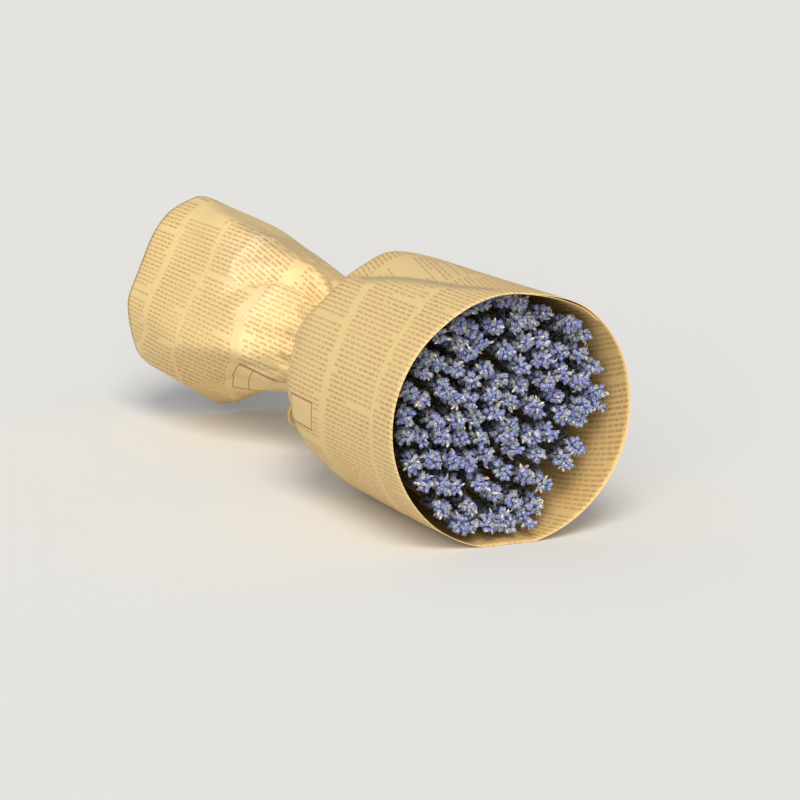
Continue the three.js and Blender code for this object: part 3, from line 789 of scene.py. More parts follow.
def printed_kraft(paper):
    """Kraft paper: unbleached wood pulp, rolled smooth and left uncoated, printed on both faces.

    That gives a warm tan with little gloss, mottled by fibres 2 to 3 mm long. The brown ink has sunk
    in. Painted shade greys the strip beside the lap's edge, painted highlights pale the ridges and a
    painted glow warms the top by the waist.
    """
    material, tree = empty_material("printed kraft paper")
    page = add(tree, "ShaderNodeUVMap", uv_map="Print")
    ink = print_ink(tree, paper, page)
    stretched = add(tree, "ShaderNodeMapping", {"Vector": page, "Scale": (1.0, 3.0, 1.0)})
    fibres = add(
        tree, NOISE,
        {"Vector": stretched, "Scale": 1 / (2.4 * MM), "Detail": 3.0, "Roughness": 0.6},
        noise_dimensions="2D",
    )
    colours = {6: list(paper.pale), 7: list(paper.deep)}
    shown = add(tree, MIX, {**colours, 0: fibres}, data_type="RGBA")
    # Painted light kept at the sheet's points: highlights, glow, shade by the lap, and the inner face's
    # tint
    marks = {
        name: add(tree, ATTRIBUTE, attribute_name=name).outputs["Fac"]
        for name in ("highlit", "glow", "shaded", "inner")
    }
    for name, most in (("highlit", 0.35), ("glow", 0.8), ("inner", 0.5)):
        marks[name] = add(tree, MATH, (marks[name], most), operation="MULTIPLY")
    for factor, tone, blend in (
        (marks["highlit"], paper.highlit, "MIX"),
        (marks["glow"], paper.glow, "MIX"),
        (ink, paper.ink, "MIX"),
        (marks["shaded"], paper.shaded, "MIX"),
        (marks["inner"], paper.inner, "MULTIPLY"),
    ):
        feeds = {0: factor, 6: shown, 7: list(tone)}
        shown = add(tree, MIX, feeds, data_type="RGBA", blend_type=blend)
    bump = add(
        tree, "ShaderNodeBump", {"Height": fibres, "Strength": 0.25, "Distance": 0.12 * MM}
    )
    feeds = {"Base Color": shown, "Roughness": 0.62, "IOR": 1.45, "Normal": bump}
    shader = add(tree, "ShaderNodeBsdfPrincipled", {**feeds, "Specular IOR Level": 0.5})
    add(tree, "ShaderNodeOutputMaterial", {"Surface": shader})
    return material


class LAVENDER_paper_settings(bpy.types.PropertyGroup):
    thickness: FloatProperty(
        name="Thickness", description="Thickness of the sheet", default=0.28 * MM, unit="LENGTH"
    )
    crumple: FloatProperty(
        name="Crumple", description="Strength of the small creases", default=1.0, min=0, max=2
    )
    edge_gap: FloatProperty(
        name="Edge gap", description="How far the outer edge stands off the layer under it",
        default=0.03 * MM, unit="LENGTH",
    )
    line_pitch: FloatProperty(
        name="Line pitch", description="Distance between rows of print", default=3.1002 * MM,
        unit="LENGTH",
    )
    word_length: FloatProperty(
        name="Word length", description="Mean length of a word", default=7.0 * MM, unit="LENGTH"
    )
    column_width: FloatProperty(
        name="Column", description="From one gutter to the next", default=61 * MM, unit="LENGTH"
    )
    wide_gutter: FloatProperty(
        name="Wide gutter", description="Width of every second gutter", default=9 * MM,
        unit="LENGTH",
    )
    narrow_gutter: FloatProperty(
        name="Narrow gutter", description="Width of the others", default=4.5 * MM, unit="LENGTH"
    )
    pale: FloatVectorProperty(
        name="Pale pulp", description="Lightest tone of the paper", default=linear("#dfc68d"),
        **COLOUR,
    )
    deep: FloatVectorProperty(
        name="Deep pulp", description="Darkest tone of the paper", default=linear("#d3b57a"),
        **COLOUR,
    )
    # Colour of the painted shade beside the lap's edge
    shaded: FloatVectorProperty(
        name="Shaded", description="Tone of the paper where the lap has rubbed it",
        default=linear("#ad9b74"), **COLOUR,
    )
    # Colour of the painted highlight along the ridges
    highlit: FloatVectorProperty(
        name="Highlit", description="Tone of the paper along a worn ridge",
        default=linear("#f0dcb4"), **COLOUR,
    )
    # Colour of the painted glow of light through the paper by the waist
    glow: FloatVectorProperty(
        name="Glow", description="Tone of the stain by the waist", default=linear("#f3c888"),
        **COLOUR,
    )
    # The inner face's tint is painted light: warmer and darker, for light bouncing inside the sleeve
    # and through the paper
    inner: FloatVectorProperty(
        name="Inside", description="How the tone of the sheet's inner face differs",
        default=linear("#fff0df"), **COLOUR,
    )
    ink: FloatVectorProperty(
        name="Ink", description="Colour of the print", default=linear("#9c6a38"), **COLOUR
    )


class LAVENDER_OT_paper(bpy.types.Operator):
    """Wraps the printed kraft sheet round the bunch"""

    bl_idname = "lavender.paper"
    bl_label = "Paper sheet"

    def execute(self, context):
        paper = context.scene.lavender_paper
        piece = bpy.data.objects.new("paper_sheet", sheet_mesh(paper))
        context.scene.collection.objects.link(piece)
        piece.data.materials.append(printed_kraft(paper))
        finish_piece(piece, "paper", "paper_wrap")
        return {"FINISHED"}


# Flower heads and stems


def spread_at(x):
    """Scale of the pattern of heads at a place along the bunch, where 1 is its size at the mouth."""
    return float(np.interp(x, *zip(*SPREAD)))


def merged(node):
    """Corner points of a frame node in millimetres, and the points that each is joined to."""
    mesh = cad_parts[node].data
    places, index = {}, []
    for v in mesh.vertices:
        key = tuple(round(c / MM, 2) for c in v.co)
        index.append(places.setdefault(key, len(places)))
    joined = [set() for _ in places]
    for edge in mesh.edges:
        a, b = (index[k] for k in edge.vertices)
        joined[a].add(b)
        joined[b].add(a)
    return np.array(list(places)), joined


def head_axes(node):
    """Root and tip of each flower head in a frame node, from its furthest points each way."""
    points, joined = merged(node)
    ends = []
    for sign in (1, -1):
        x = sign * points[:, 0]
        peaks = [k for k in range(len(points)) if joined[k] and all(x[k] > x[j] for j in joined[k])]
        best = max(x[k] for k in peaks)
        chosen = []
        for k in sorted((k for k in peaks if x[k] > best - 14), key=lambda k: -x[k]):
            if all(np.hypot(*(points[k] - points[c])[1:]) > 5 for c in chosen):
                chosen.append(k)
        ends.append([points[k] for k in chosen])
    tips, roots = ends
    if len(tips) != len(roots):
        raise RuntimeError(f"{node} has {len(tips)} tips and {len(roots)} roots")
    axes = []
    for tip in tips:
        scale = spread_at(tip[0] - 50) / spread_at(tip[0])
        aim = Vector((tip[1] * scale, (tip[2] - AXIS_Z) * scale + AXIS_Z))
        root = min(roots, key=lambda p: (Vector(p[1:]) - aim).length)
        axes.append((Vector(root), Vector(tip)))
    return axes


def held(point, radius):
    """A point brought back to a radius round the bunch's axis, if it lies further out."""
    side = Vector((0, point.y, point.z - AXIS_Z))
    return point - side * max(1 - radius / side.length, 0)


def settled(axis):
    """A head's root and tip, drawn away from the near side of the sheet and turned towards it."""
    root, tip = axis
    height = tip.z - AXIS_Z
    on_floor = float(smoothstep(-height, 25, 50))
    at_far_top = float(smoothstep(height, 15, 50)) * float(smoothstep(tip.y, -35, 15))
    off = CLEAR * float(smoothstep(-tip.y, -30, 62))
    move = Vector((FORWARD * max(on_floor, at_far_top), off, -LOWER * on_floor))
    return held(root + move + Vector(TURNED), ROOTS_R), held(tip + move, HEADS_R)


def bent(axis, rng):
    """A head's line with a slight bend and lean of its own."""
    root, tip = settled(axis)
    lean = Vector((0, *rng.uniform(-2.2, 2.2, 2)))
    bow = Vector((0, *rng.uniform(-1.5, 1.5, 2)))
    shares = (0, 0.3, 0.6, 0.85, 1)
    return [root.lerp(tip, t) + lean * t + bow * 4 * t * (1 - t) for t in shares]


def simple_form(name, points, faces, along):
    """An unlinked object for the trees to copy, with how far along it each of its points is."""
    mesh = bpy.data.meshes.new(name)
    mesh.from_pydata([Vector(p) * MM for p in points], [], faces)
    mesh.polygons.foreach_set("use_smooth", [True] * len(faces))
    store(mesh, "along", along)
    return bpy.data.objects.new(name, mesh)


def tube_faces(rings, sides):
    """Faces between rings of points that follow one another."""
    faces = []
    for ring in range(rings - 1):
        for k in range(sides):
            a, b = ring * sides + k, ring * sides + (k + 1) % sides
            faces.append((a, b, b + sides, a + sides))
    return faces


def calyx_form():
    """One calyx: a ribbed tube, swollen in the middle, with a small open mouth."""
    sides, height = 6, 4.9
    rings = ((0.0, 0.45), (1.5, 1.0), (3.5, 1.28), (height, 1.02))
    points, along = [], []
    for number, (z, r) in enumerate(rings):
        for k in range(sides):
            a = 2 * math.pi * (k + 0.5 * (number % 2)) / sides
            reach = z + (0.5 if number == 3 and k % 2 else 0.0)
            points.append((r * math.cos(a), r * math.sin(a), reach))
            along.append(0.86 * z / height)
    faces = tube_faces(len(rings), sides)
    # The middle of the mouth is sunk and takes the last tone, painted shade
    points += [(0, 0, 0.0), (0, 0, 3.9)]
    last = (len(rings) - 1) * sides
    for k in range(sides):
        faces.append((len(points) - 2, (k + 1) % sides, k))
        faces.append((last + k, last + (k + 1) % sides, len(points) - 1))
    return simple_form("calyx", points, faces, along + [0.0, 1.0])


def petal_form():
    """What is left of a dried flower: a crumpled tube that curls to one side, on the calyx's mouth."""
    sides = 5
    rings = ((3.9, 0.4, 0.0), (5.0, 0.7, 0.2), (5.8, 0.95, 0.7), (6.3, 0.7, 1.5), (6.5, 0.25, 2.2))
    points, along = [], []
    for number, (z, r, out) in enumerate(rings):
        for k in range(sides):
            a = 2 * math.pi * k / sides
            reach = r * (1.3 if (k + number) % 2 else 0.7)
            points.append((out + 0.7 * reach * math.cos(a), reach * math.sin(a), z))
            along.append(number / (len(rings) - 1))
    faces = tube_faces(len(rings), sides)
    faces.append(tuple(range(sides))[::-1])
    faces.append(tuple(range(len(points) - sides, len(points))))
    return simple_form("petals", points, faces, along)


def bract_form():
    """A dry pointed bract, folded along its middle."""
    height = 4.2
    points = [(0, -0.5, 0), (0, 0.5, 0), (0.5, -1.5, 2.0), (0.1, 0, 2.0), (0.5, 1.5, 2.0)]
    points.append((0.9, 0, height))
    back = [(x - 0.3, y, z) for x, y, z in points]
    front = [(0, 3, 2), (0, 1, 3), (1, 4, 3), (2, 3, 5), (3, 4, 5)]
    faces = front + [tuple(k + 6 for k in reversed(f)) for f in front]
    border = (0, 2, 5, 4, 1)
    for p, q in zip(border, border[1:] + border[:1]):
        faces.append((p, q, q + 6, p + 6))
    return simple_form("bract", points + back, faces, [p[2] / height for p in points] * 2)


def whorls_on_lines(tree, given, lines):
    """A point for each whorl, closer together towards the tip, with its share of the way there."""
    resampled = add(tree, "GeometryNodeResampleCurve", {"Curve": lines, "Count": given["Whorls"]})
    length = add(tree, "GeometryNodeSplineLength").outputs["Length"]
    factor = add(tree, "GeometryNodeSplineParameter").outputs["Factor"]
    kept = add(tree, "GeometryNodeCaptureAttribute", {"Geometry": resampled}, domain="POINT")
    for number, (label, field) in enumerate((("factor", factor), ("length", length)), 1):
        kept.capture_items.new("FLOAT", label)
        tree.links.new(field, kept.inputs[number])
    factor, length = kept.outputs[1], kept.outputs[2]
    dots = add(tree, "GeometryNodeCurveToPoints", {"Curve": kept}, mode="EVALUATED")
    tangent, normal = dots.outputs["Tangent"], dots.outputs["Normal"]

    back = add(tree, MATH, (1.0, factor), operation="SUBTRACT")
    eased = add(tree, MATH, (back, 1.3), operation="POWER")
    used = add(tree, MATH, (length, 7.0 * MM), operation="SUBTRACT")
    wanted = add(tree, MATH, (eased, used, 4.6 * MM), operation="MULTIPLY_ADD")
    even = add(tree, MATH, (back, length), operation="MULTIPLY")
    shift = add(tree, MATH, (even, wanted), operation="SUBTRACT")
    slide = add(tree, VECTOR_MATH, {0: tangent, "Scale": shift}, operation="SCALE")
    feeds = {"Geometry": dots.outputs["Points"], "Offset": slide}
    return add(tree, SET_POSITION, feeds), factor, tangent, normal


def calyxes_in_rings(tree, given, heads, whorls, factor, tangent, normal):
    """Points for the calyxes of each whorl, fewer and more upright at the tip, and how each stands."""
    index = add(tree, "GeometryNodeInputIndex")
    feeds = {"Max": FULL_TURN, "ID": index, "Seed": given["Seed"]}
    whorl_turn = add(tree, RANDOM, feeds, data_type="FLOAT")
    tip = add(
        tree, MAP_RANGE, {"Value": factor, "From Min": 0.74, "From Max": 1.0},
        interpolation_type="SMOOTHSTEP",
    )
    fewer = add(tree, MATH, (tip, -0.35, 1.0), operation="MULTIPLY_ADD")
    count = add(tree, MATH, (given["Calyxes"], fewer), operation="MULTIPLY")
    kept = add(tree, "GeometryNodeCaptureAttribute", {"Geometry": whorls}, domain="POINT")
    fields = (tip.outputs[0], whorl_turn.outputs[1], count.outputs[0], factor)
    for number, (label, field) in enumerate(zip(("tip", "turn", "count", "place"), fields), 1):
        kept.capture_items.new("FLOAT", label)
        tree.links.new(field, kept.inputs[number])
    tip, turn, count, place = (kept.outputs[k] for k in range(1, 5))
    ring = add(
        tree, "GeometryNodeDuplicateElements", {"Geometry": kept, "Amount": count}, domain="POINT"
    )

    # Each calyx strays in its angle, lean, size, place along the stem and roll
    own = add(tree, "GeometryNodeInputIndex")
    strays = []
    for number, (low, high) in enumerate(STRAYS, 1):
        seed = add(tree, MATH, (given["Seed"], 11.0 * number), operation="ADD")
        feeds = {"ID": own, "Seed": seed, 2: low, 3: high}
        strays.append(add(tree, RANDOM, feeds, data_type="FLOAT"))
    around, sway, bulk, slip, twist = strays
    member = ring.outputs["Duplicate Index"]
    share = add(tree, MATH, (member, count), operation="DIVIDE")
    angle = add(tree, MATH, (share, FULL_TURN, turn), operation="MULTIPLY_ADD")
    angle = add(tree, MATH, (angle, around), operation="ADD")
    radial = add(
        tree, "ShaderNodeVectorRotate", {"Vector": normal, "Axis": tangent, "Angle": angle},
        rotation_type="AXIS_ANGLE",
    )
    lean = add(
        tree, MAP_RANGE, {"Value": tip, "To Min": heads.lean, "To Max": 0.45 * heads.lean}
    )
    lean = add(tree, MATH, (lean, sway), operation="ADD")
    sine = add(tree, MATH, (lean,), operation="SINE")
    cosine = add(tree, MATH, (lean,), operation="COSINE")
    out = add(tree, VECTOR_MATH, {0: radial, "Scale": sine}, operation="SCALE")
    ahead = add(tree, VECTOR_MATH, {0: tangent, "Scale": cosine}, operation="SCALE")
    aim = add(tree, VECTOR_MATH, (out, ahead), operation="ADD")
    root = add(tree, VECTOR_MATH, {0: radial, "Scale": 0.8 * MM}, operation="SCALE")
    slip = add(tree, MATH, (slip, MM), operation="MULTIPLY")
    slip = add(tree, VECTOR_MATH, {0: tangent, "Scale": slip}, operation="SCALE")
    root = add(tree, VECTOR_MATH, (root, slip), operation="ADD")
    rooted = add(tree, SET_POSITION, {"Geometry": ring.outputs["Geometry"], "Offset": root})
    upright = add(tree, "FunctionNodeAlignRotationToVector", {"Vector": aim}, axis="Z")
    roll = add(tree, "FunctionNodeAxisAngleToRotation", {"Axis": (0.0, 0.0, 1.0), "Angle": twist})
    turned = add(
        tree, "FunctionNodeRotateRotation", {"Rotation": upright, "Rotate By": roll},
        rotation_space="LOCAL",
    )
    size = add(tree, MAP_RANGE, {"Value": tip, "To Min": 1.0, "To Max": 0.86})
    for factor in (bulk, given["Calyx size"]):
        size = add(tree, MATH, (size, factor), operation="MULTIPLY")
    # Painted shade: calyxes further back from the head's tip are darker
    shade = add(
        tree, MAP_RANGE,
        {"Value": place, "From Min": 0.3, "From Max": 0.74, "To Min": 1.0, "To Max": 0.0},
        interpolation_type="SMOOTHSTEP",
    )
    return {"Points": rooted, "Rotation": turned, "Scale": size}, shade, own


def head_tree(heads, values, materials):
    """Whorls of calyxes round each line, with bracts under them and dry petals in some."""
    tree, given, lines = empty_tree("whorls of calyxes", "Heads", values)
    whorls = whorls_on_lines(tree, given, lines)
    stands, shade, own = calyxes_in_rings(tree, given, heads, *whorls)
    tone, pick = (
        add(tree, RANDOM, {"ID": own, "Seed": seed}, data_type="FLOAT") for seed in (77, 78)
    )
    whole = add(tree, "GeometryNodeJoinGeometry")
    branches = (
        ("Calyx", None),
        ("Petals", ("LESS_THAN", heads.petal_share)),
        ("Bract", ("GREATER_THAN", 1 - heads.bract_share)),
    )
    for (name, test), material in zip(branches, materials):
        form = add(tree, "GeometryNodeObjectInfo", {"Object": given[name], "As Instance": True})
        feeds = {**stands, "Instance": form.outputs["Geometry"]}
        if test:
            feeds["Selection"] = add(
                tree, "FunctionNodeCompare", (pick, test[1]), data_type="FLOAT",
                operation=test[0],
            )
        marked = add(tree, "GeometryNodeInstanceOnPoints", feeds)
        for label, value in (("tone", tone), ("shade", shade)):
            marked = add(
                tree, "GeometryNodeStoreNamedAttribute",
                {"Geometry": marked, "Name": label, "Value": value},
                data_type="FLOAT", domain="INSTANCE",
            )
        real = add(tree, "GeometryNodeRealizeInstances", (marked,))
        done = add(tree, "GeometryNodeSetMaterial", {"Geometry": real, "Material": material})
        tree.links.new(done.outputs[0], whole.inputs[0])

    # The stem inside the head
    profile = add(
        tree, "GeometryNodeCurvePrimitiveCircle", {"Resolution": 5, "Radius": 0.8 * MM},
        mode="RADIUS",
    )
    short = add(tree, "GeometryNodeTrimCurve", {"Curve": lines, 3: 0.86})
    feeds = {"Curve": short, "Profile Curve": profile, "Fill Caps": True}
    stalk = add(tree, "GeometryNodeCurveToMesh", feeds)
    stalk = add(tree, "GeometryNodeSetMaterial", {"Geometry": stalk, "Material": materials[3]})
    tree.links.new(stalk.outputs[0], whole.inputs[0])
    add(tree, "NodeGroupOutput", (whole,))
    return tree


def dry_plant(name, families, stops, roughness, hairs):
    """A dry plant surface in families of tones, each of which runs from a piece's base to its mouth.

    It is dull, with short grey hairs that pale it in flecks. They are drawn 0.7 mm long, coarser than
    real ones, which would be lost in the picture. Deep inside the head it is darkened with painted
    shade.
    """
    material, tree = empty_material(name)
    along, tone, shade = (
        add(tree, ATTRIBUTE, attribute_name=label).outputs["Fac"]
        for label in ("along", "tone", "shade")
    )
    colour = None
    for start, tones in families:
        ramp = add(tree, "ShaderNodeValToRGB", (along,))
        marks = ramp.color_ramp.elements
        while len(marks) < len(stops):
            marks.new(0.5)
        for mark, place, shown in zip(marks, stops, tones):
            mark.position, mark.color = place, linear(shown)
        if colour is None:
            colour = ramp
            continue
        chosen = add(
            tree, MAP_RANGE, {"Value": tone, "From Min": start - 0.05, "From Max": start + 0.05}
        )
        colour = add(tree, MIX, {0: chosen, 6: colour, 7: ramp}, data_type="RGBA")
    places = add(tree, "ShaderNodeTexCoord").outputs["Object"]
    down = add(tree, NOISE, {"Vector": places, "Scale": 1 / (0.7 * MM), "Detail": 2.0})
    flecks = add(
        tree, MAP_RANGE, {"Value": down, "From Min": 0.35, "From Max": 0.7, "To Max": hairs}
    )
    # Painted shade, darker deep inside the head
    depth = add(tree, MATH, (shade, 0.85), operation="MULTIPLY")
    for factor, shown in ((flecks, "#aeb1b2"), (depth, "#353732")):
        colour = add(tree, MIX, {0: factor, 6: colour, 7: linear(shown)}, data_type="RGBA")
    shader = add(
        tree, "ShaderNodeBsdfPrincipled",
        {"Base Color": colour, "Roughness": roughness, "IOR": 1.4, "Specular IOR Level": 0.25},
    )
    add(tree, "ShaderNodeOutputMaterial", {"Surface": shader})
    return material


def head_materials():
    """What the heads are made of: air-dried calyxes, petals, bracts and the stalk inside.

    The calyxes keep a greyish blue-violet and have no gloss. The petals have withered to thin pale
    flecks. The bracts are brown skins, duller than both.
    """
    return (
        dry_plant("dried lavender calyx", CALYX_TONES, CALYX_STOPS, 0.8, 0.3),
        dry_plant("withered lavender petal", PETAL_TONES, END_STOPS, 0.85, 0.1),
        dry_plant("dry lavender bract", BRACT_TONES, END_STOPS, 0.9, 0.1),
        dry_stem(),
    )


class LAVENDER_head_settings(bpy.types.PropertyGroup):
    whorls: IntProperty(name="Whorls", description="Whorls on a flower head", default=9, min=3)
    calyxes: IntProperty(name="Calyxes", description="Calyxes in a whorl", default=12, min=3)
    calyx_size: FloatProperty(
        name="Calyx size", description="Scale of a 4.9 mm calyx", default=1.0, min=0.2
    )
    lean: FloatProperty(
        name="Lean", description="Angle of a calyx from the stem", default=math.radians(48),
        subtype="ANGLE",
    )
    petal_share: FloatProperty(
        name="Petals left", description="Share of calyxes with a dried flower", default=0.09
    )
    bract_share: FloatProperty(
        name="Bracts", description="Share of calyxes with a bract under them", default=0.22
    )
    seed: IntProperty(name="Seed", description="Seed of the whorls' turns", default=5)


class LAVENDER_OT_heads(bpy.types.Operator):
    """Puts the whorls of calyxes on every flower head"""

    bl_idname = "lavender.heads"
    bl_label = "Flower heads"

    def execute(self, context):
        heads = context.scene.lavender_heads
        forms = {"Calyx": calyx_form(), "Petals": petal_form(), "Bract": bract_form()}
        values = {
            "Whorls": heads.whorls,
            "Calyxes": heads.calyxes,
            "Calyx size": heads.calyx_size,
            "Seed": heads.seed,
            **forms,
        }
        tree = head_tree(heads, values, head_materials())
        groups = "abcd"
        for number, letter in enumerate(groups):
            nodes = HEAD_NODES[number :: len(groups)]
            rng = np.random.RandomState(heads.seed + number)
            routes = [bent(axis, rng) for node in nodes for axis in head_axes(node)]
            values["Seed"] = heads.seed + number
            lines = polylines("head lines", routes)
            piece = mesh_of_tree(f"flower_heads_{letter}", lines, tree, values)
            finish_piece(piece, "flowers", *nodes)
        for form in forms.values():
            bpy.data.objects.remove(form)
        return {"FINISHED"}


def dry_stem():
    """Dried lavender stalk: air-dried, bare and square.

    That gives a dull greyish straw with green left in it, in streaks along the stalk. They are drawn
    0.8 mm wide, coarser than real ones.
    """
    material, tree = empty_material("dried lavender stalk")
    places = add(tree, "ShaderNodeTexCoord").outputs["Object"]
    stretched = add(tree, "ShaderNodeMapping", {"Vector": places, "Scale": (0.06, 1.0, 1.0)})
    streaks = add(tree, NOISE, {"Vector": stretched, "Scale": 1 / (0.8 * MM), "Detail": 2.0})
    ramp = add(tree, "ShaderNodeValToRGB", (streaks,))
    marks = ramp.color_ramp.elements
    marks[0].position, marks[0].color = 0.3, linear("#6f6a45")
    marks[1].position, marks[1].color = 0.7, linear("#b3a871")
    shader = add(
        tree, "ShaderNodeBsdfPrincipled",
        {"Base Color": ramp, "Roughness": 0.85, "Specular IOR Level": 0.25},
    )
    add(tree, "ShaderNodeOutputMaterial", {"Surface": shader})
    return material


def end_tree(tree, geometry, material):
    """Ends a geometry tree: the instances become real and take the material."""
    real = add(tree, "GeometryNodeRealizeInstances", (geometry,))
    done = add(tree, "GeometryNodeSetMaterial", {"Geometry": real, "Material": material})
    add(tree, "NodeGroupOutput", (done,))
    return tree


def stem_tree(material, values):
    """A square stalk along each line."""
    tree, given, lines = empty_tree("square stalks", "Stalks", values)
    profile = add(
        tree, "GeometryNodeCurvePrimitiveCircle", {"Resolution": 4, "Radius": given["Radius"]},
        mode="RADIUS",
    )
    feeds = {"Curve": lines, "Profile Curve": profile, "Fill Caps": True}
    return end_tree(tree, add(tree, "GeometryNodeCurveToMesh", feeds), material)


class LAVENDER_stem_settings(bpy.types.PropertyGroup):
    radius: FloatProperty(
        name="Radius", description="Half the diagonal of a stalk", default=1.05 * MM, unit="LENGTH"
    )
    cut_from: FloatProperty(
        name="Shortest", description="Where the shortest stalks are cut", default=-169.6 * MM,
        unit="LENGTH",
    )
    cut_to: FloatProperty(
        name="Longest", description="Where the longest stalks are cut", default=-181.6 * MM,
        unit="LENGTH",
    )
    seed: IntProperty(name="Seed", description="Seed of the stalks' lengths", default=9)


class LAVENDER_OT_stems(bpy.types.Operator):
    """Runs a stalk from each flower head through the waist to its cut end"""

    bl_idname = "lavender.stems"
    bl_label = "Stems"

    def execute(self, context):
        stems = context.scene.lavender_stems
        rng = np.random.RandomState(stems.seed)
        routes = []
        for root, tip in (axis for node in HEAD_NODES for axis in head_axes(node)):
            scale = spread_at(root.x)
            aside = settled((root, tip))[0] - root
            y, z = root.y / scale, (root.z - AXIS_Z) / scale
            cut = (stems.cut_from + (stems.cut_to - stems.cut_from) * rng.rand()) / MM
            stations = [root.x + 1.5, 112, KNEE_X, 40, 10, -13.5, -26.5, -70, -120, cut]
            route = []
            for number, x in enumerate(stations):
                s = spread_at(x)
                loose = 1.4 * min(1, abs(x - WAIST_X) / 60) * (number > 0)
                dy, dz = loose * rng.uniform(-1, 1, 2)
                share = float(smoothstep(x, KNEE_X, root.x))
                place = Vector((x, y * s + dy, AXIS_Z + z * s + dz))
                route.append(place + aside * share)
            routes.append(route)
        values = {"Radius": stems.radius}
        tree = stem_tree(dry_stem(), values)
        piece = mesh_of_tree("lavender_stems", polylines("stem lines", routes), tree, values)
        finish_piece(piece, "stems", "stems_front", "stems_rear")
        return {"FINISHED"}


# The tie


def at_waist(dx, r, angle):
    """A point beside the waist, from its distance along the bunch, radius and angle."""
    a = math.radians(angle)
    return Vector((WAIST_X + dx, r * math.cos(a), AXIS_Z + r * math.sin(a)))


def smooth_route(points, steps):
    """A rounded line through points."""
    pts = [2 * points[0] - points[1]] + points + [2 * points[-1] - points[-2]]
    route = []
    for a, b, c, d in zip(pts, pts[1:], pts[2:], pts[3:]):
        for s in range(steps):
            t = s / steps
            square = (2 * a - 5 * b + 4 * c - d) * t**2
            route.append(0.5 * (2 * b + (c - a) * t + square + (3 * b - a - 3 * c + d) * t**3))
    return route + [pts[-2]]


def twine_tree(material, values):
    """Three plies laid round each line."""
    tree, given, lines = empty_tree("laid twine", "Twine", values)
    feeds = {"Curve": lines, "Length": 1.1 * MM}
    resampled = add(tree, "GeometryNodeResampleCurve", feeds, mode="LENGTH")
    profile = add(
        tree, "GeometryNodeCurvePrimitiveCircle", {"Resolution": 6, "Radius": given["Ply radius"]},
        mode="RADIUS",
    )
    done = add(tree, "GeometryNodeSplineParameter").outputs["Length"]
    normal, tangent = (add(tree, f"GeometryNodeInput{kind}") for kind in ("Normal", "Tangent"))
    turns = add(tree, MATH, (done, given["Lay length"]), operation="DIVIDE")
    plies = add(tree, "GeometryNodeJoinGeometry")
    for ply in range(3):
        feeds = {0: turns, 1: 2 * math.pi, 2: 2 * math.pi * ply / 3}
        angle = add(tree, MATH, feeds, operation="MULTIPLY_ADD")
        feeds = {"Vector": normal, "Axis": tangent, "Angle": angle}
        out = add(tree, "ShaderNodeVectorRotate", feeds, rotation_type="AXIS_ANGLE")
        offset = add(tree, VECTOR_MATH, {0: out, "Scale": given["Lay radius"]}, operation="SCALE")
        laid = add(tree, SET_POSITION, {"Geometry": resampled, "Offset": offset})
        feeds = {"Curve": laid, "Profile Curve": profile, "Fill Caps": True}
        tube = add(tree, "GeometryNodeCurveToMesh", feeds)
        tree.links.new(tube.outputs[0], plies.inputs[0])
    return end_tree(tree, plies, material)


def plant_twine():
    """Plant-fibre twine: three plies, unbleached and unpolished.

    That gives a dull straw with darker fibres, which are drawn 0.6 mm wide, coarser than real ones.
    """
    material, tree = empty_material("plant fibre twine")
    places = add(tree, "ShaderNodeTexCoord").outputs["Object"]
    fibres = add(tree, NOISE, {"Vector": places, "Scale": 1 / (0.6 * MM), "Detail": 3.0})
    ramp = add(tree, "ShaderNodeValToRGB", (fibres,))
    marks = ramp.color_ramp.elements
    marks[0].position, marks[0].color = 0.32, linear("#7d6236")
    marks[1].position, marks[1].color = 0.62, linear("#c9ac6f")
    bump = add(tree, "ShaderNodeBump", {"Height": fibres, "Strength": 0.5, "Distance": 0.2 * MM})
    shader = add(
        tree, "ShaderNodeBsdfPrincipled",
        {"Base Color": ramp, "Roughness": 0.88, "Specular IOR Level": 0.25, "Normal": bump},
    )
    add(tree, "ShaderNodeOutputMaterial", {"Surface": shader})
    return material


class LAVENDER_tie_settings(bpy.types.PropertyGroup):
    ply_radius: FloatProperty(
        name="Ply radius", description="Radius of one ply", default=0.62 * MM, unit="LENGTH"
    )
    lay_length: FloatProperty(
        name="Lay length", description="Length of one full twist", default=7 * MM, unit="LENGTH"
    )
    turns: IntProperty(name="Turns", description="Turns round the waist", default=3, min=1)


class LAVENDER_OT_tie(bpy.types.Operator):
    """Ties the twine round the waist with a bow"""

    bl_idname = "lavender.tie"
    bl_label = "Tie"

    def execute(self, context):
        tie = context.scene.lavender_tie
        steps = 60 * tie.turns
        winding = [
            at_waist(
                TIE_PITCH * tie.turns * (k / steps - 0.5),
                TIE_RADIUS,
                KNOT_ANGLE + 360 * tie.turns * k / steps,
            )
            for k in range(steps + 1)
        ]
        seat = at_waist(0, TIE_RADIUS + KNOT_LIFT, KNOT_ANGLE)
        knot = []
        for k in range(KNOT_STEPS + 1):
            share = k / KNOT_STEPS
            a = share * 2 * KNOT_TURNS * math.pi
            x, y, z = KNOT_SIZE
            knot.append(seat + Vector((x * (2 * share - 1), y * math.cos(a), z * math.sin(a))))
        routes = [winding, knot]
        routes += [smooth_route([at_waist(*p) for p in points], 10) for points in BOW]
        values = {
            "Ply radius": tie.ply_radius,
            "Lay radius": tie.ply_radius,
            "Lay length": tie.lay_length,
        }
        tree = twine_tree(plant_twine(), values)
        piece = mesh_of_tree("twine_bow", polylines("twine lines", routes), tree, values)
        finish_piece(piece, "twine", "twine_tie")
        return {"FINISHED"}


# The stage


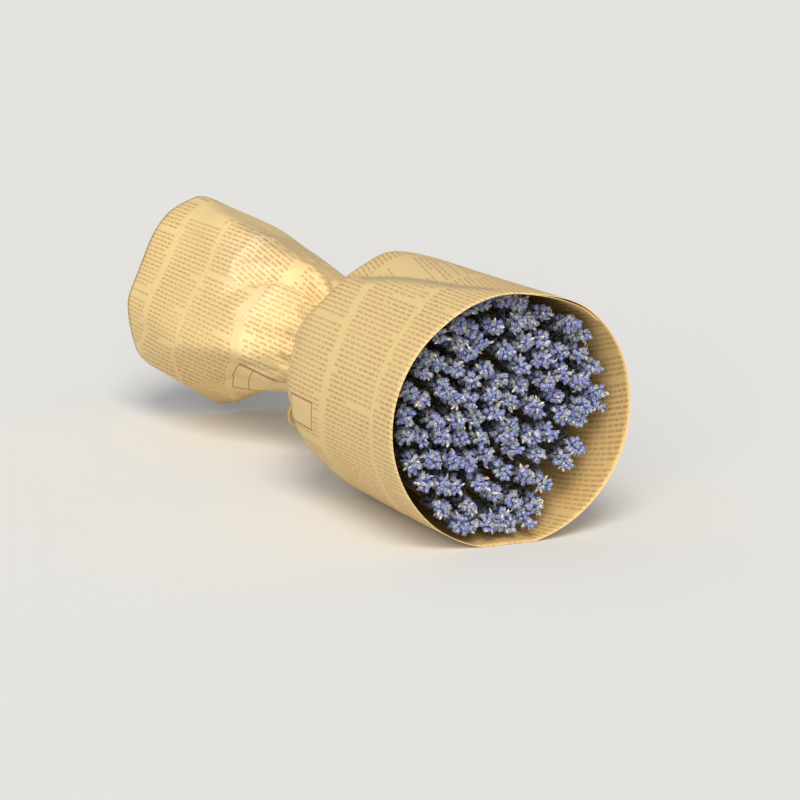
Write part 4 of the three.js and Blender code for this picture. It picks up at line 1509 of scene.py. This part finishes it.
class LAVENDER_stage_settings(bpy.types.PropertyGroup):
    lens: FloatProperty(
        name="Lens", description="Focal length on a 36 mm sensor", default=160.2
    )
    key_power: FloatProperty(name="Key", description="Strength of the main light", default=1.98)
    front_power: FloatProperty(
        name="Front", description="Strength of the light from the mouth's side", default=2.1
    )
    fill_power: FloatProperty(name="Fill", description="Strength of the even light", default=0.45)
    floor: FloatVectorProperty(
        name="Floor", description="Colour of the floor", default=linear("#e4e3df"), **COLOUR
    )


def add_camera(scene, lens):
    """The camera that the photo was taken with, as far as the bunch's outline tells."""
    azimuth, elevation = math.radians(VIEW_AZIMUTH), math.radians(VIEW_ELEVATION)
    level = math.cos(elevation)
    back = Vector((math.sin(azimuth) * level, -math.cos(azimuth) * level, math.sin(elevation)))
    right = Vector((math.cos(azimuth), math.sin(azimuth), 0))
    up = back.cross(right)
    pixels = lens / SENSOR * PICTURE
    x = (MOUTH_SHOWS[0] - PICTURE / 2) / pixels * VIEW_DISTANCE
    y = (PICTURE / 2 - MOUTH_SHOWS[1]) / pixels * VIEW_DISTANCE
    mouth = Vector((MOUTH_X, 0, AXIS_Z)) * MM
    place = mouth - right * x - up * y + back * VIEW_DISTANCE
    camera = bpy.data.objects.new("camera", bpy.data.cameras.new("camera"))
    scene.collection.objects.link(camera)
    camera.data.sensor_width, camera.data.lens = SENSOR, lens
    camera.data.clip_start, camera.data.clip_end = 0.1, 50
    axes = Matrix((right, up, back)).transposed().to_4x4()
    camera.matrix_world = Matrix.Translation(place) @ axes
    scene.camera = camera


class LAVENDER_OT_stage(bpy.types.Operator):
    """Sets the camera, the lights and the floor"""

    bl_idname = "lavender.stage"
    bl_label = "Stage"

    def execute(self, context):
        stage, scene = context.scene.lavender_stage, context.scene
        add_camera(scene, stage.lens)

        # A painted matt floor, so that nothing is mirrored in it
        floor_mesh = bpy.data.meshes.new("floor")
        corners = [(x, y, -0.0004) for x, y in ((-6, -6), (6, -6), (6, 6), (-6, 6))]
        floor_mesh.from_pydata(corners, [], [(0, 1, 2, 3)])
        floor = bpy.data.objects.new("floor", floor_mesh)
        scene.collection.objects.link(floor)
        finish = bpy.data.materials.new("pale matt floor")
        finish.use_nodes = True
        shader = finish.node_tree.nodes["Principled BSDF"]
        shader.inputs["Base Color"].default_value = list(stage.floor)
        shader.inputs["Roughness"].default_value = 0.9
        floor_mesh.materials.append(finish)

        for name, aim, width, power, colour in (
            ("key", (0.64, -0.26, 0.72), 26, stage.key_power, (1.0, 0.955, 0.88)),
            ("front", (0.82, -0.50, 0.28), 37, stage.front_power, (1.0, 0.97, 0.92)),
        ):
            light = bpy.data.lights.new(name, "SUN")
            light.angle = math.radians(width)
            light.energy, light.color = power, colour
            lamp = bpy.data.objects.new(name, light)
            scene.collection.objects.link(lamp)
            lamp.rotation_euler = Vector(aim).to_track_quat("Z", "Y").to_euler()
        world = bpy.data.worlds.new("even light")
        world.use_nodes = True
        sky = world.node_tree.nodes["Background"]
        sky.inputs["Color"].default_value = linear("#ebf1fb")
        sky.inputs["Strength"].default_value = stage.fill_power
        scene.world = world
        scene.view_settings.view_transform = "Standard"
        return {"FINISHED"}


class LAVENDER_PT_panel(bpy.types.Panel):
    """Lists the bunch's pieces with their sizes and colours"""

    bl_idname = "LAVENDER_PT_panel"
    bl_label = "Dried lavender bunch"
    bl_space_type = "VIEW_3D"
    bl_region_type = "UI"
    bl_category = "Lavender"

    def draw(self, context):
        for operator, settings in PIECES:
            box = self.layout.box()
            box.operator(operator)
            group = getattr(context.scene, settings)
            for name in group.__annotations__:
                box.prop(group, name)


# The operators, and the settings that each one reads
PIECES = (
    ("lavender.stage", "lavender_stage"),
    ("lavender.paper", "lavender_paper"),
    ("lavender.heads", "lavender_heads"),
    ("lavender.stems", "lavender_stems"),
    ("lavender.tie", "lavender_tie"),
)

SETTINGS = {
    "lavender_stage": LAVENDER_stage_settings,
    "lavender_paper": LAVENDER_paper_settings,
    "lavender_heads": LAVENDER_head_settings,
    "lavender_stems": LAVENDER_stem_settings,
    "lavender_tie": LAVENDER_tie_settings,
}

CLASSES = (
    LAVENDER_OT_stage,
    LAVENDER_OT_paper,
    LAVENDER_OT_heads,
    LAVENDER_OT_stems,
    LAVENDER_OT_tie,
    LAVENDER_PT_panel,
)


def register():
    for name, group in SETTINGS.items():
        bpy.utils.register_class(group)
        setattr(bpy.types.Scene, name, PointerProperty(type=group))
    for cls in CLASSES:
        bpy.utils.register_class(cls)


def unregister():
    for cls in reversed(CLASSES):
        bpy.utils.unregister_class(cls)
    for name, group in SETTINGS.items():
        delattr(bpy.types.Scene, name)
        bpy.utils.unregister_class(group)


def main():
    register()
    bpy.ops.lavender.stage()
    bpy.ops.lavender.paper()
    bpy.ops.lavender.heads()
    bpy.ops.lavender.stems()
    bpy.ops.lavender.tie()


if __name__ == "__main__":
    main()
